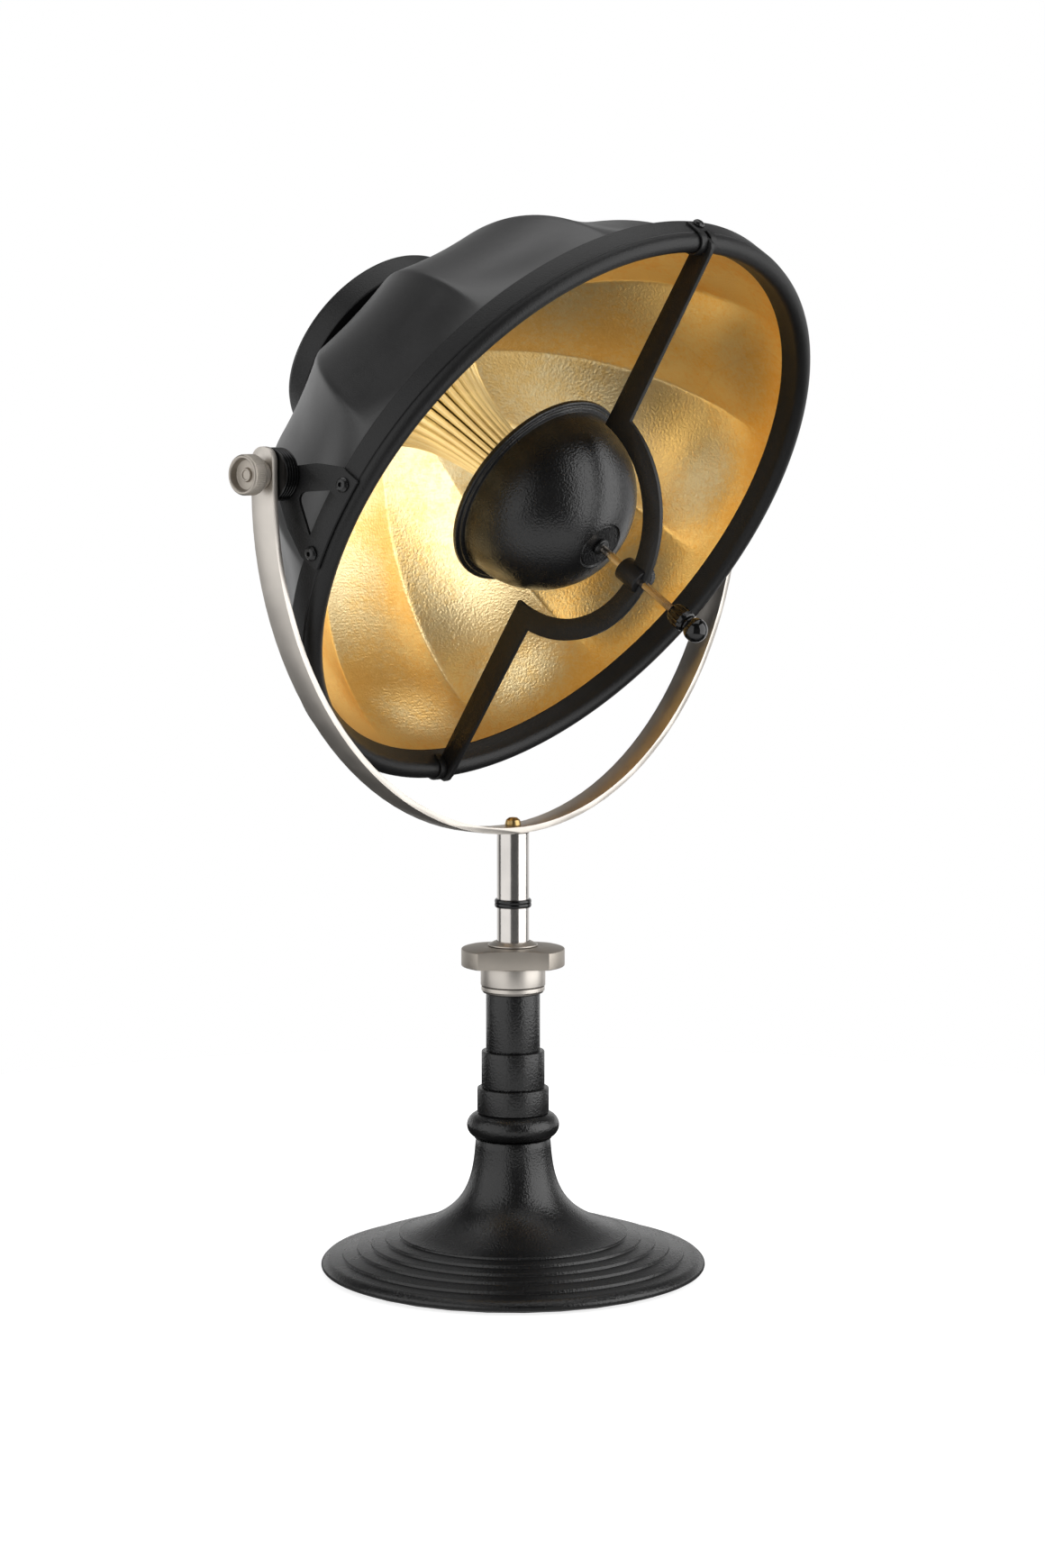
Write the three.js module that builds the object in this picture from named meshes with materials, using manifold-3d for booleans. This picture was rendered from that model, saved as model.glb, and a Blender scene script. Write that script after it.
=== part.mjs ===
// Table lamp: a lobed studio shade that tilts in a steel yoke on a turned column.
// Millimetres, +Z up. The origin is the centre of the underside of the foot.
import * as THREE from "three";
import { mergeVertices } from "three/addons/utils/BufferGeometryUtils.js";
import Module from "manifold-3d";

const wasm = await Module();
wasm.setup();

// Driving dimensions

// Fits
const gap = 0.3; // between two pieces that touch
const screwClearance = 0.4; // between a shank and its hole, all round
const overrun = 5; // how far a cutter passes the piece that it cuts

// Stem, guide bush and column, from the inside out
const stemRadius = 10.35;
const stemWall = 1.15;
const stemFit = 0.3; // round the stem in its bushes
const guideWall = 1.05;
const guideDepth = 22; // how far the guide bush reaches down into the column
const columnWall = 2;
const stemTail = 54.3; // below the guide bush, for the height slide
const endBushHeight = 12;
const stopRingWall = 1.65;
const stopRingHeight = 5.6;
const stopRingEase = 1.4; // of its edges
const stopRingRoom = 22; // between the cone seat and the stop ring
const stemShow = 70.7; // between the cone seat and the yoke
const plugHeight = 20;

// Foot
const footRadius = 125;
const footUndercut = 4; // from the edge in to the underside
const footBottom = 1;
const footEdgeHeight = 4.6;
const footEdgeRound = 3;
const footShoulderHeight = 8;
const footWall = 2;
const footMargin = 15.1; // plain rim outside the steps
const footMarginRise = 3.7;
const stepCount = 5;
const stepPitch = 9.3;
const stepRise = 3.2;
const stepNoseWidth = 1.5;
const stepNoseHeight = 1.6;
const flareHeight = 61.8;
const flareDecay = 15; // height over which the flare falls to a third
const flareSteps = 5;
const flareCrowding = 1.6; // how much closer the flare's rings lie at its foot
const neckWall = 9.5; // of the neck, over the column tube
const padHeight = 3;
const padInset = 0.4; // between the pad and the turned edge of the foot
const weightInset = 9; // from the foot's edge
const weightCrownWall = 20; // of the weight's crown, over the column tube
const weightCrownRise = 5.5; // over the innermost step
const nutWall = 8; // over the column tube
const nutHeight = 5;

// Sleeves and collar on the column, each wall over the column tube
const beadStandOut = 6.5; // over the neck
const beadHalfHeight = 8.2;
const lowerSleeveWall = 9.25;
const lowerSleeveHeight = 16.2;
const middleSleeveWall = 6.5;
const middleSleeveHeight = 23.7;
const upperSleeveWall = 3.5;
const upperSleeveHeight = 37.5;
const sleeveChamfer = 0.9;
const lowerCollarWall = 6.5;
const lowerCollarHeight = 4.2;
const collarRound = 1.6;

// Swivel head
const swivelGroove = 0.5;
const swivelCollarWall = 7.15; // over the column tube
const swivelCollarHeight = 12.5;
const clampRadius = 33.5;
const clampAcrossFlats = 48.5;
const clampTurn = -48; // where its flats lie at rest
const clampHeight = 11.2;
const clampDome = 1.5;
const seatWall = 5.85; // over the stem, at the cone seat's foot
const seatTopWall = 1.65;
const seatHeight = 2.8;
const seatLand = 0.9; // upright edge of the cone seat

// Bowl: s runs forward along the shade's axis from the pivot
const shadeTilt = 32.8; // degrees below level
const bowlRadius = 191.2; // to the ribs, at the front
const bowlDepth = 170; // of the whole half ellipse
const bowlFront = 43.4;
const throatRadius = 68;
const bowlWall = 1.6;
const lobeCount = 12;
const lobePlay = 1.6; // 1 makes the panels flat between the ribs, more makes them hollow
const lobePhase = 15; // degrees from the tilt axis to the first rib
const facetsPerLobe = 4;
const bowlRings = 9;

// Rim
const rimDepth = 13.8; // from the ribs out to the band
const rimOverlap = 5.7; // how far the band reaches back over the bowl
const bandWidth = 13.5;
const rimWall = 1.5;
const rimGroove = 0.8;
const rollRadius = 6.2;
const rollStep = 0.4; // from the band in to the bead's outside
const rollLead = 1; // of the bead's middle before the band
const rimSeat = 0.4; // between the rim and the bowl that it is closed over

// Yoke
const yokeRoom = 14; // between the band and the strap, for the bracket and the bush
const yokeWall = 4;
const yokeWidth = 17.9;
const yokeDrop = 9.45; // from the pivot down to the middle of the yoke's arc
const yokeEndRise = 16.5; // from the pivot up to the end of the strap
const yokeScrewHeadRadius = 5.2;
const yokeScrewHeadHeight = 5.4;
const yokeScrewHeadEdge = 1.8; // height of the head's upright edge
const yokeScrewShank = 2.5;
const yokeScrewLength = 17;

// Pivots, one on each side
const studRadius = 4;
const studHeadRadius = 7;
const studHeadHeight = 3;
const studSink = 0.9; // from the curved bracket in to the flat head
const studEnd = 3.6; // from the knob's face in to the stud's end
const bushRadius = 16.2;
const bushDiscs = 3;
const bushGrooveDepth = 1;
const bushGrooveWidth = 0.9;
const knobRadius = 12.2;
const knobLength = 9.7;
const knobNeckLength = 6.9;
const knobNeckRadius = 8.5;
const knobRecessRadius = 9.5;
const knobRecessDepth = 1.6;
const knobTeeth = 24;
const knobToothDepth = 0.6;
const bracketWall = 2;
const bracketBackMargin = 0.8; // round the bush
const bracketBackSpread = 55; // degrees of the rounded back, each way from the middle
const bracketHalfHeight = 32;
const bracketLip = 1.8; // past the band's front edge
const bracketEdgeDepth = 14; // depth of the upright front edge
const windowInset = 3; // from the bracket's rounded back to the window
const windowHalfHeight = 15.5;
const windowRound = 3;
const windowTipSpread = 60; // degrees of its rounded tip, each way from the middle
const bracketScrewHeight = 24.3; // from the middle of the bracket
const screwSetback = 5.9; // from the band's front edge to the screws

// Rear housing
const throatPlate = 2;
const neckRingInset = 3; // inside the throat
const neckRingWall = 6;
const neckRingLength = 8;
const drumStandOut = 3.6; // over the throat
const drumLength = 20;
const drumWall = 1.5;
const drumRound = 4;
const nippleRadius = 5;
const nippleBore = 3.2;
const rearNutRadius = 9;
const rearNutHeight = 5;
const glandRadius = 8;
const glandLength = 14;
const glandBore = 3.6;
const glandEndRadius = 5.6;
const glandTaper = 7; // length of its tapered end

// Cap that screens the bulb
const capRadius = 61;
const capRecess = 15.4; // of its middle behind the bowl's front
const capWall = 1.4;
const capLipStandOut = 6.5;
const capLipRecess = 1.5; // behind the cap's middle
const capLipWidth = 4;
const capLipStep = 3.4;
const capSeatRadius = 15;
const capSeatSink = 0.6;
const hubRadius = 5;
const hubLength = 3.4;
const capNutRadius = 5.5;
const capNutHeight = 3.6;

// Lamp holder, bulb and the fluted horn round them
const bulbRadius = 22.5;
const bulbLead = 9; // of the bulb's middle before the cap's
const bulbNeckRadius = 9;
const bulbBaseRadius = 6.9;
const bulbReach = 35; // from the holder to the bulb's middle
const holderRadius = 13.5;
const holderBore = 7.3;
const holderLength = 47;
const holderSocketDepth = 24;
const hornLead = 2; // of the horn's mouth before the holder
const hornCoreRadius = 13.5;
const hornSwell = 6; // how far the horn stands out from its core at its waist
const hornWaist = 24; // from the mouth back to the waist
const hornGrowth = 45; // length over which the swell grows to nearly three times
const hornSkirtInset = 11; // inside the throat, where the horn goes straight back
const hornWall = 1.2;
const fluteCount = 24;
const fluteDepthShare = 0.075; // of the radius
const pointsPerFlute = 2;
const hornRings = 7;

// Bridge in front of the shade
const barThickness = 3;
const barSetback = 2.2; // behind the bead's middle
const barWidth = 14.2;
const barEndInset = 1; // from the band in to each end
const barEndRound = 7;
const arcRoom = 5.5; // between the cap and the bow
const arcWidth = 13.7;
const bossRadius = 6.3;
const bossLength = 17;
const bossBite = 6.5; // behind the bow's inside
const clipWidth = 14;
const clipWall = 1.3;
const clipTuck = 4; // how far the clip reaches back inside the rim
const clipBandReach = 10;

// Shoulder of every domed screw head, as shares of its radius and height
const headShoulderRadiusShare = 0.75;
const headShoulderHeightShare = 0.8;

// Small dome-headed screws of the brackets and clips
const screwHeadRadius = 3.8;
const screwHeadHeight = 2.4;
const screwShank = 1.6;
const screwLength = 6;

// Rod, with its grip, tip and set knob
const rodRadius = 2;
const rodTail = 7.5; // behind the cap's seat
const rodTravel = 29; // between the boss and the grip
const rodGripReach = 1.5; // past the grip, into the tip
const gripLength = 14.5;
const gripRadius = 6.4;
const gripFlutes = 12;
const gripFluteDepth = 0.7;
const tipRadius = 7;
const tipLead = 7.9; // of the tip's middle before the grip
const tipNeckRadius = 4.6;
const setKnobRadius = 4.5;
const setKnobRoom = 1.1; // between the boss and the knob
const setKnobLength = 5.6;
const setKnobTeeth = 14;
const setKnobToothDepth = 0.5;
const setKnobSetback = 6.5; // behind the boss's front
const setScrewRadius = 1.5;
const setScrewRoom = 0.6; // between the rod and the screw's end

// Angles
const quarterTurn = 90;
const halfTurn = 180;

// Facets round one turn
const broadFacets = 32;
const rimFacets = lobeCount * facetsPerLobe;
const columnFacets = 24;
const yokeFacets = 32; // along the yoke's half turn
const smallFacets = 16;
const screwFacets = 8;

// Finishes
const blackCoat = new THREE.MeshStandardMaterial({ color: 0x1b1b1c, roughness: 0.55, metalness: 0.2 });
const blackRubber = new THREE.MeshStandardMaterial({ color: 0x0e0e0e, roughness: 0.8, metalness: 0 });
const blackGloss = new THREE.MeshStandardMaterial({ color: 0x080808, roughness: 0.1, metalness: 0 });
const satinNickel = new THREE.MeshStandardMaterial({ color: 0xb3aca2, roughness: 0.3, metalness: 1 });
const brightNickel = new THREE.MeshStandardMaterial({ color: 0xc9c6c1, roughness: 0.12, metalness: 1 });
const plainSteel = new THREE.MeshStandardMaterial({ color: 0x8e8f91, roughness: 0.4, metalness: 1 });
const castIron = new THREE.MeshStandardMaterial({ color: 0x3a3a3a, roughness: 0.8, metalness: 0.6 });
const goldLeaf = new THREE.MeshStandardMaterial({ color: 0xc9973f, roughness: 0.35, metalness: 1 });
const champagne = new THREE.MeshStandardMaterial({ color: 0xd9c08a, roughness: 0.25, metalness: 1 });
const brassScrew = new THREE.MeshStandardMaterial({ color: 0xb59a5b, roughness: 0.25, metalness: 1 });
const whiteGlass = new THREE.MeshStandardMaterial({ color: 0xf4f1e8, roughness: 0.2, metalness: 0 });
const grayFelt = new THREE.MeshStandardMaterial({ color: 0x222222, roughness: 1, metalness: 0 });

// A closed surface as a solid, turned to face outwards
function toSolid(geometry) {
  const bare = new THREE.BufferGeometry();
  bare.setAttribute("position", geometry.getAttribute("position"));
  bare.setIndex(geometry.index);
  const merged = mergeVertices(bare, 1e-4);
  const solidOf = (triVerts) =>
    new wasm.Manifold(
      new wasm.Mesh({ numProp: 3, vertProperties: merged.attributes.position.array, triVerts }),
    );
  const triVerts = new Uint32Array(merged.index.array);
  const solid = solidOf(triVerts);
  return solid.volume() > 0 ? solid : solidOf(triVerts.reverse());
}

// A solid of revolution about Z from a closed section of [radius, height] points
function revolve(section, facets) {
  const points = [...section, section[0]].map(([r, z]) => new THREE.Vector2(r, z));
  return toSolid(new THREE.LatheGeometry(points, facets).rotateX(Math.PI / 2));
}

// A tube or washer about Z
function tube(outer, inner, bottom, top, facets) {
  return revolve([[inner, bottom], [outer, bottom], [outer, top], [inner, top]], facets);
}

// A plain shaft about Z
function shaft(radius, bottom, top, facets) {
  return revolve([[0, bottom], [radius, bottom], [radius, top], [0, top]], facets);
}

// An outline of [x, y] points pushed up along Z
function prism(outline, bottom, top) {
  const shape = new THREE.Shape(outline.map(([x, y]) => new THREE.Vector2(x, y)));
  const geometry = new THREE.ExtrudeGeometry(shape, { depth: top - bottom, bevelEnabled: false });
  return toSolid(geometry.translate(0, 0, bottom));
}

// Points [x, y] on an arc, in degrees, both ends included
function arc(cx, cy, radius, from, to, steps) {
  const points = [];
  for (let i = 0; i <= steps; i++) {
    const angle = THREE.MathUtils.degToRad(from + ((to - from) * i) / steps);
    points.push([cx + radius * Math.cos(angle), cy + radius * Math.sin(angle)]);
  }
  return points;
}

// A hexagon outline, measured to its corners
function hexagon(radius) {
  const sides = 6;
  return arc(0, 0, radius, 0, 360 - 360 / sides, sides - 1);
}

// A toothed wheel outline with the given number of teeth
function toothed(radius, depth, teeth) {
  const points = [];
  for (let i = 0; i < 2 * teeth; i++) {
    const angle = (Math.PI * i) / teeth;
    const r = i % 2 ? radius - depth : radius;
    points.push([r * Math.cos(angle), r * Math.sin(angle)]);
  }
  return points;
}

// A closed skin through rings of points, the last ring joined to the first
function skin(rings) {
  const count = rings[0].length;
  const corners = rings.flat().flatMap((p) => [p.x, p.y, p.z]);
  const faces = [];
  rings.forEach((ring, i) => {
    const next = (i + 1) % rings.length;
    for (let k = 0; k < count; k++) {
      const kk = (k + 1) % count;
      faces.push(i * count + k, i * count + kk, next * count + kk);
      faces.push(i * count + k, next * count + kk, next * count + k);
    }
  });
  const geometry = new THREE.BufferGeometry();
  geometry.setAttribute("position", new THREE.Float32BufferAttribute(corners, 3));
  geometry.setIndex(faces);
  return toSolid(geometry);
}

// A solid moved and turned, in degrees about X, Y and Z
function placed(solid, position = [0, 0, 0], turn = [0, 0, 0]) {
  return solid.rotate(turn).translate(position);
}

const lamp = new THREE.Group();

// Adds a solid to a group as a named mesh
function add(group, name, solid, material) {
  const { numProp, vertProperties, triVerts } = solid.getMesh();
  const positions = [];
  for (let i = 0; i < vertProperties.length; i += numProp) {
    positions.push(vertProperties[i], vertProperties[i + 1], vertProperties[i + 2]);
  }
  const geometry = new THREE.BufferGeometry();
  geometry.setAttribute("position", new THREE.Float32BufferAttribute(positions, 3));
  geometry.setIndex([...triVerts]);
  const mesh = new THREE.Mesh(geometry, material);
  mesh.name = name;
  group.add(mesh);
}

// Foot: a spun cover with five steps and a flared neck, over a cast weight on a felt pad

const guideBore = stemRadius + stemFit;
const guideRadius = guideBore + guideWall;
const columnBore = guideRadius + gap;
const columnRadius = columnBore + columnWall;
const neckRadius = columnRadius + neckWall;
const footUndersideRadius = footRadius - footUndercut;
const footShoulderRadius = footRadius - footEdgeRound;
const stepOuterRadius = footRadius - footMargin;
const stepOuterHeight = footShoulderHeight + footMarginRise;
const stepInnerRadius = stepOuterRadius - (stepCount - 1) * stepPitch;
const stepInnerHeight = stepOuterHeight + (stepCount - 1) * stepRise;
const neckTop = stepInnerHeight + flareHeight;
const flareSwell = stepInnerRadius - neckRadius;
const flareRadius = (height) => neckRadius + flareSwell * Math.exp((stepInnerHeight - height) / flareDecay);

const coverOutside = [
  [footUndersideRadius, footBottom],
  [footRadius - stepNoseWidth / 2, footBottom + footWall / 2],
  [footRadius, footEdgeHeight],
  [footShoulderRadius, footShoulderHeight],
];
for (let i = 0; i < stepCount; i++) {
  const r = stepOuterRadius - i * stepPitch;
  const z = stepOuterHeight + i * stepRise;
  coverOutside.push([r + stepNoseWidth, z - stepNoseHeight], [r, z]);
}
const flareRings = [];
for (let i = 1; i <= flareSteps; i++) {
  const z = stepInnerHeight + flareHeight * (i / flareSteps) ** flareCrowding;
  flareRings.push([flareRadius(z), z]);
}
coverOutside.push(...flareRings);

// The inside follows the flare one wall in and one wall down, then slopes out under the steps
const coverInside = [
  [columnRadius + gap, neckTop],
  [columnRadius + gap, neckTop - footWall],
];
for (const [r, z] of flareRings.reverse()) coverInside.push([r - footWall, z - footWall]);
const insideTop = [stepInnerRadius - footWall, stepInnerHeight - footWall];
const slopeFootRadius = footShoulderRadius - footWall;
const slopeFootHeight = footShoulderHeight - footWall;
coverInside.push(insideTop, [slopeFootRadius, slopeFootHeight]);
coverInside.push([footRadius - footWall, footEdgeHeight], [footUndersideRadius - footWall, footBottom]);
add(lamp, "base_cover", revolve([...coverOutside, ...coverInside], broadFacets), blackCoat);

// Height of the weight's sloping top, just under the cover's inside
const slope = (insideTop[1] - slopeFootHeight) / (slopeFootRadius - insideTop[0]);
const underCover = (radius) => slopeFootHeight + slope * (slopeFootRadius - radius) - 2 * gap;
const nutRoom = padHeight + gap + nutHeight + 2 * gap;
const nutRadius = columnRadius + nutWall;
const weightRadius = footRadius - weightInset;
const weightCrownRadius = columnRadius + weightCrownWall;
const weightTop = stepInnerHeight + weightCrownRise;
add(
  lamp,
  "base_weight",
  revolve(
    [
      [nutRadius + gap, padHeight + gap],
      [weightRadius, padHeight + gap],
      [weightRadius, underCover(weightRadius)],
      [insideTop[0], underCover(insideTop[0])],
      [weightCrownRadius, weightTop],
      [columnRadius + gap, weightTop],
      [columnRadius + gap, nutRoom],
      [nutRadius + gap, nutRoom],
    ],
    broadFacets,
  ),
  castIron,
);
const padRadius = footUndersideRadius - footWall - padInset;
add(lamp, "base_pad", shaft(padRadius, 0, padHeight, broadFacets), grayFelt);

const nutBottom = padHeight + gap;
const nutBlank = prism(hexagon(nutRadius), nutBottom, nutBottom + nutHeight);
const nutBore = shaft(columnRadius + gap, nutBottom - overrun, nutBottom + nutHeight + overrun, smallFacets);
add(lamp, "column_nut", nutBlank.subtract(nutBore), plainSteel);

// Column: a steel tube that clamps a bead, three stepped sleeves and a collar to the foot

const beadCentreRadius = neckRadius + beadStandOut - beadHalfHeight;
const beadMiddle = neckTop + gap + beadHalfHeight;
const sleeveBore = columnRadius + gap;
const lowerSleeveRadius = columnRadius + lowerSleeveWall;
const middleSleeveRadius = columnRadius + middleSleeveWall;
const upperSleeveRadius = columnRadius + upperSleeveWall;
const lowerCollarRadius = columnRadius + lowerCollarWall;
add(
  lamp,
  "column_bead",
  revolve(
    [
      [sleeveBore, beadMiddle - beadHalfHeight],
      ...arc(beadCentreRadius, beadMiddle, beadHalfHeight, -quarterTurn, quarterTurn, 6),
      [sleeveBore, beadMiddle + beadHalfHeight],
    ],
    columnFacets,
  ),
  blackCoat,
);

// A turned sleeve round the column with a chamfered upper lip
function sleeve(radius, bottom, height) {
  const top = bottom + height;
  const lip = [[radius, top - sleeveChamfer], [radius - sleeveChamfer, top]];
  return revolve([[sleeveBore, bottom], [radius, bottom], ...lip, [sleeveBore, top]], columnFacets);
}
const lowerSleeveBottom = beadMiddle + beadHalfHeight + gap;
const middleSleeveBottom = lowerSleeveBottom + lowerSleeveHeight + gap;
const upperSleeveBottom = middleSleeveBottom + middleSleeveHeight + gap;
const lowerCollarBottom = upperSleeveBottom + upperSleeveHeight + gap;
const lowerCollarTop = lowerCollarBottom + lowerCollarHeight;
const lowerCollarCorner = lowerCollarRadius - collarRound;
add(lamp, "lower_sleeve", sleeve(lowerSleeveRadius, lowerSleeveBottom, lowerSleeveHeight), blackCoat);
add(lamp, "middle_sleeve", sleeve(middleSleeveRadius, middleSleeveBottom, middleSleeveHeight), blackCoat);
add(lamp, "upper_sleeve", sleeve(upperSleeveRadius, upperSleeveBottom, upperSleeveHeight), blackCoat);
add(
  lamp,
  "lower_collar",
  revolve(
    [
      [sleeveBore, lowerCollarBottom],
      ...arc(lowerCollarCorner, lowerCollarBottom + collarRound, collarRound, -quarterTurn, 0, 2),
      [lowerCollarRadius, lowerCollarTop],
      [sleeveBore, lowerCollarTop],
    ],
    columnFacets,
  ),
  satinNickel,
);
const columnBottom = nutBottom + gap;
const columnTube = tube(columnRadius, columnBore, columnBottom, lowerCollarTop, columnFacets);
add(lamp, "column_tube", columnTube, plainSteel);

// Swivel head: a collar that turns on the column, its guide bush, the clamp nut and the cone seat

const swivelBottom = lowerCollarTop + swivelGroove;
const swivelTop = swivelBottom + swivelCollarHeight;
const clampBottom = swivelTop + gap;
const clampTop = clampBottom + clampHeight;
const seatBottom = clampTop + clampDome + gap;
const seatTop = seatBottom + seatHeight;
const guideBottom = swivelBottom - guideDepth;
const swivelCollarRadius = columnRadius + swivelCollarWall;
const seatRadius = stemRadius + seatWall;
const seatTopRadius = stemRadius + seatTopWall;
add(
  lamp,
  "swivel_collar",
  revolve(
    [
      [guideRadius + gap, swivelBottom],
      [swivelCollarRadius - sleeveChamfer / 2, swivelBottom],
      [swivelCollarRadius, swivelBottom + sleeveChamfer / 2],
      [swivelCollarRadius, swivelTop - sleeveChamfer / 2],
      [swivelCollarRadius - sleeveChamfer / 2, swivelTop],
      [guideRadius + gap, swivelTop],
    ],
    columnFacets,
  ),
  satinNickel,
);
add(
  lamp,
  "guide_bush",
  tube(guideRadius, guideBore, guideBottom, seatBottom - gap, columnFacets),
  blackRubber,
);
const clampCrown = clampTop + clampDome;
const halfFlat = clampAcrossFlats / 2;
const flatCorner = THREE.MathUtils.radToDeg(Math.asin(halfFlat / clampRadius));
const clampOutline = [
  ...arc(0, 0, clampRadius, clampTurn - flatCorner, clampTurn + flatCorner, 8),
  ...arc(0, 0, clampRadius, clampTurn + halfTurn - flatCorner, clampTurn + halfTurn + flatCorner, 8),
];
const clampBlank = prism(clampOutline, clampBottom, clampTop);
const clampDomeSolid = revolve(
  [
    [0, clampTop - clampDome],
    [clampRadius - clampDome, clampTop - clampDome],
    [seatRadius + clampDome, clampCrown],
    [0, clampCrown],
  ],
  columnFacets,
);
const clampFlats = prism(clampOutline, clampBottom, clampCrown + overrun);
const clampHole = shaft(guideRadius + gap, clampBottom - overrun, clampCrown + overrun, columnFacets);
add(
  lamp,
  "clamp_nut",
  clampBlank.add(clampDomeSolid.intersect(clampFlats)).subtract(clampHole),
  satinNickel,
);
add(
  lamp,
  "cone_seat",
  revolve(
    [
      [guideBore, seatBottom],
      [seatRadius, seatBottom],
      [seatRadius, seatBottom + seatLand],
      [seatTopRadius, seatTop],
      [guideBore, seatTop],
    ],
    columnFacets,
  ),
  satinNickel,
);

// Stem: a nickel tube that slides in the bush and ends in a saddle under the yoke

const rimRadius = bowlRadius + rimDepth;
const yokeInner = rimRadius + yokeRoom;
const yokeRadius = yokeInner + yokeWall;
const strapBottom = seatTop + stemShow;
const strapTop = strapBottom + yokeWall;
const arcCentre = strapBottom + yokeRadius;
const pivotHeight = arcCentre + yokeDrop;
const stemBore = stemRadius - stemWall;
const stemBottom = guideBottom - stemTail;
const saddle = placed(
  shaft(yokeRadius + gap, -stemRadius - overrun, stemRadius + overrun, lobeCount * broadFacets),
  [0, 0, arcCentre],
  [quarterTurn, 0, 0],
);
const stemBlank = tube(stemRadius, stemBore, stemBottom, strapBottom + overrun, columnFacets);
add(lamp, "stem_tube", stemBlank.subtract(saddle), brightNickel);
const endBushTop = stemBottom - gap;
add(
  lamp,
  "stem_end_bush",
  revolve(
    [
      [0, endBushTop - endBushHeight],
      [guideRadius, endBushTop - endBushHeight],
      [guideRadius, endBushTop],
      [stemBore - gap, endBushTop],
      [stemBore - gap, endBushTop + endBushHeight],
      [0, endBushTop + endBushHeight],
    ],
    smallFacets,
  ),
  blackRubber,
);
const stopRingBore = stemRadius + gap / 2;
const stopRingRadius = stemRadius + stopRingWall;
const stopRingMiddle = seatTop + stopRingRoom + stopRingHeight / 2;
const stopRingRound = (stopRingRadius - stopRingBore) / 2;
add(
  lamp,
  "stem_stop_ring",
  revolve(
    [
      [stopRingBore, stopRingMiddle - stopRingHeight / 2],
      [stopRingRadius - stopRingRound, stopRingMiddle - stopRingHeight / 2],
      [stopRingRadius, stopRingMiddle - stopRingHeight / 2 + stopRingEase],
      [stopRingRadius, stopRingMiddle + stopRingHeight / 2 - stopRingEase],
      [stopRingRadius - stopRingRound, stopRingMiddle + stopRingHeight / 2],
      [stopRingBore, stopRingMiddle + stopRingHeight / 2],
    ],
    columnFacets,
  ),
  blackRubber,
);
const plugTop = strapBottom - gap;
add(
  lamp,
  "stem_plug",
  tube(stemBore - gap, yokeScrewShank + screwClearance, plugTop - plugHeight, plugTop, smallFacets),
  plainSteel,
);

// Yoke: one strap bent to an arc, with rounded ends that carry the pivots

const strapOutline = [
  ...arc(0, -yokeDrop, yokeRadius, -halfTurn, 0, yokeFacets),
  [yokeRadius, yokeEndRise],
  [yokeInner, yokeEndRise],
  ...arc(0, -yokeDrop, yokeInner, 0, -halfTurn, yokeFacets),
  [-yokeInner, yokeEndRise],
  [-yokeRadius, yokeEndRise],
];
const flatStrap = prism(strapOutline, -yokeWidth / 2, yokeWidth / 2);
const strap = placed(flatStrap, [0, 0, 0], [quarterTurn, 0, 0]);
const endRound = yokeWidth / 2;
const strapSide = [
  [-endRound, -yokeDrop - yokeRadius - overrun],
  [endRound, -yokeDrop - yokeRadius - overrun],
  ...arc(0, yokeEndRise - endRound, endRound, 0, halfTurn, 8),
];
const sideReach = yokeRadius + overrun;
const rounded = placed(prism(strapSide, -sideReach, sideReach), [0, 0, 0], [quarterTurn, 0, quarterTurn]);
const pivotHole = placed(
  shaft(studRadius + screwClearance, -sideReach, sideReach, smallFacets),
  [0, 0, 0],
  [0, quarterTurn, 0],
);
const yokeScrewHole = shaft(
  yokeScrewShank + screwClearance,
  -yokeDrop - yokeRadius - overrun,
  -yokeDrop - yokeInner + overrun,
  smallFacets,
);
const yokeStrap = strap.intersect(rounded).subtract(pivotHole).subtract(yokeScrewHole);
add(lamp, "yoke", yokeStrap.translate([0, 0, pivotHeight]), satinNickel);

const yokeHeadBottom = strapTop + gap;
const yokeHeadShoulder = yokeHeadBottom + yokeScrewHeadHeight * headShoulderHeightShare;
add(
  lamp,
  "yoke_screw",
  revolve(
    [
      [0, yokeHeadBottom - yokeScrewLength],
      [yokeScrewShank, yokeHeadBottom - yokeScrewLength],
      [yokeScrewShank, yokeHeadBottom],
      [yokeScrewHeadRadius, yokeHeadBottom],
      [yokeScrewHeadRadius, yokeHeadBottom + yokeScrewHeadEdge],
      [yokeScrewHeadRadius * headShoulderRadiusShare, yokeHeadShoulder],
      [0, yokeHeadBottom + yokeScrewHeadHeight],
    ],
    smallFacets,
  ),
  brassScrew,
);

// The shade's own frame: X stays the tilt axis, Y points up in the rim's plane, Z is s

const shade = new THREE.Group();
shade.position.set(0, 0, pivotHeight);
shade.rotation.x = THREE.MathUtils.degToRad(quarterTurn + shadeTilt);
lamp.add(shade);

// Bowl: a pressed half ellipse with twelve ribs, its panels drawn in between them

const lobeAngle = 360 / lobeCount;
const throatShare = throatRadius / bowlRadius;
const bowlBack = bowlFront - bowlDepth * Math.sqrt(1 - throatShare * throatShare);

// Rib radius at s, for the half ellipse shrunk by an inset
function ribRadius(s, inset) {
  const share = (bowlFront - s) / (bowlDepth - inset);
  return (bowlRadius - inset) * Math.sqrt(Math.max(0, 1 - share * share));
}

// How strongly the panels are drawn in at s: not at all at the rim, fully past a third of the depth
function panelDraw(s) {
  const share = Math.min(1, (3 * (bowlFront - s)) / (bowlFront - bowlBack));
  return lobePlay * share * share * (3 - 2 * share);
}

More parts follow.
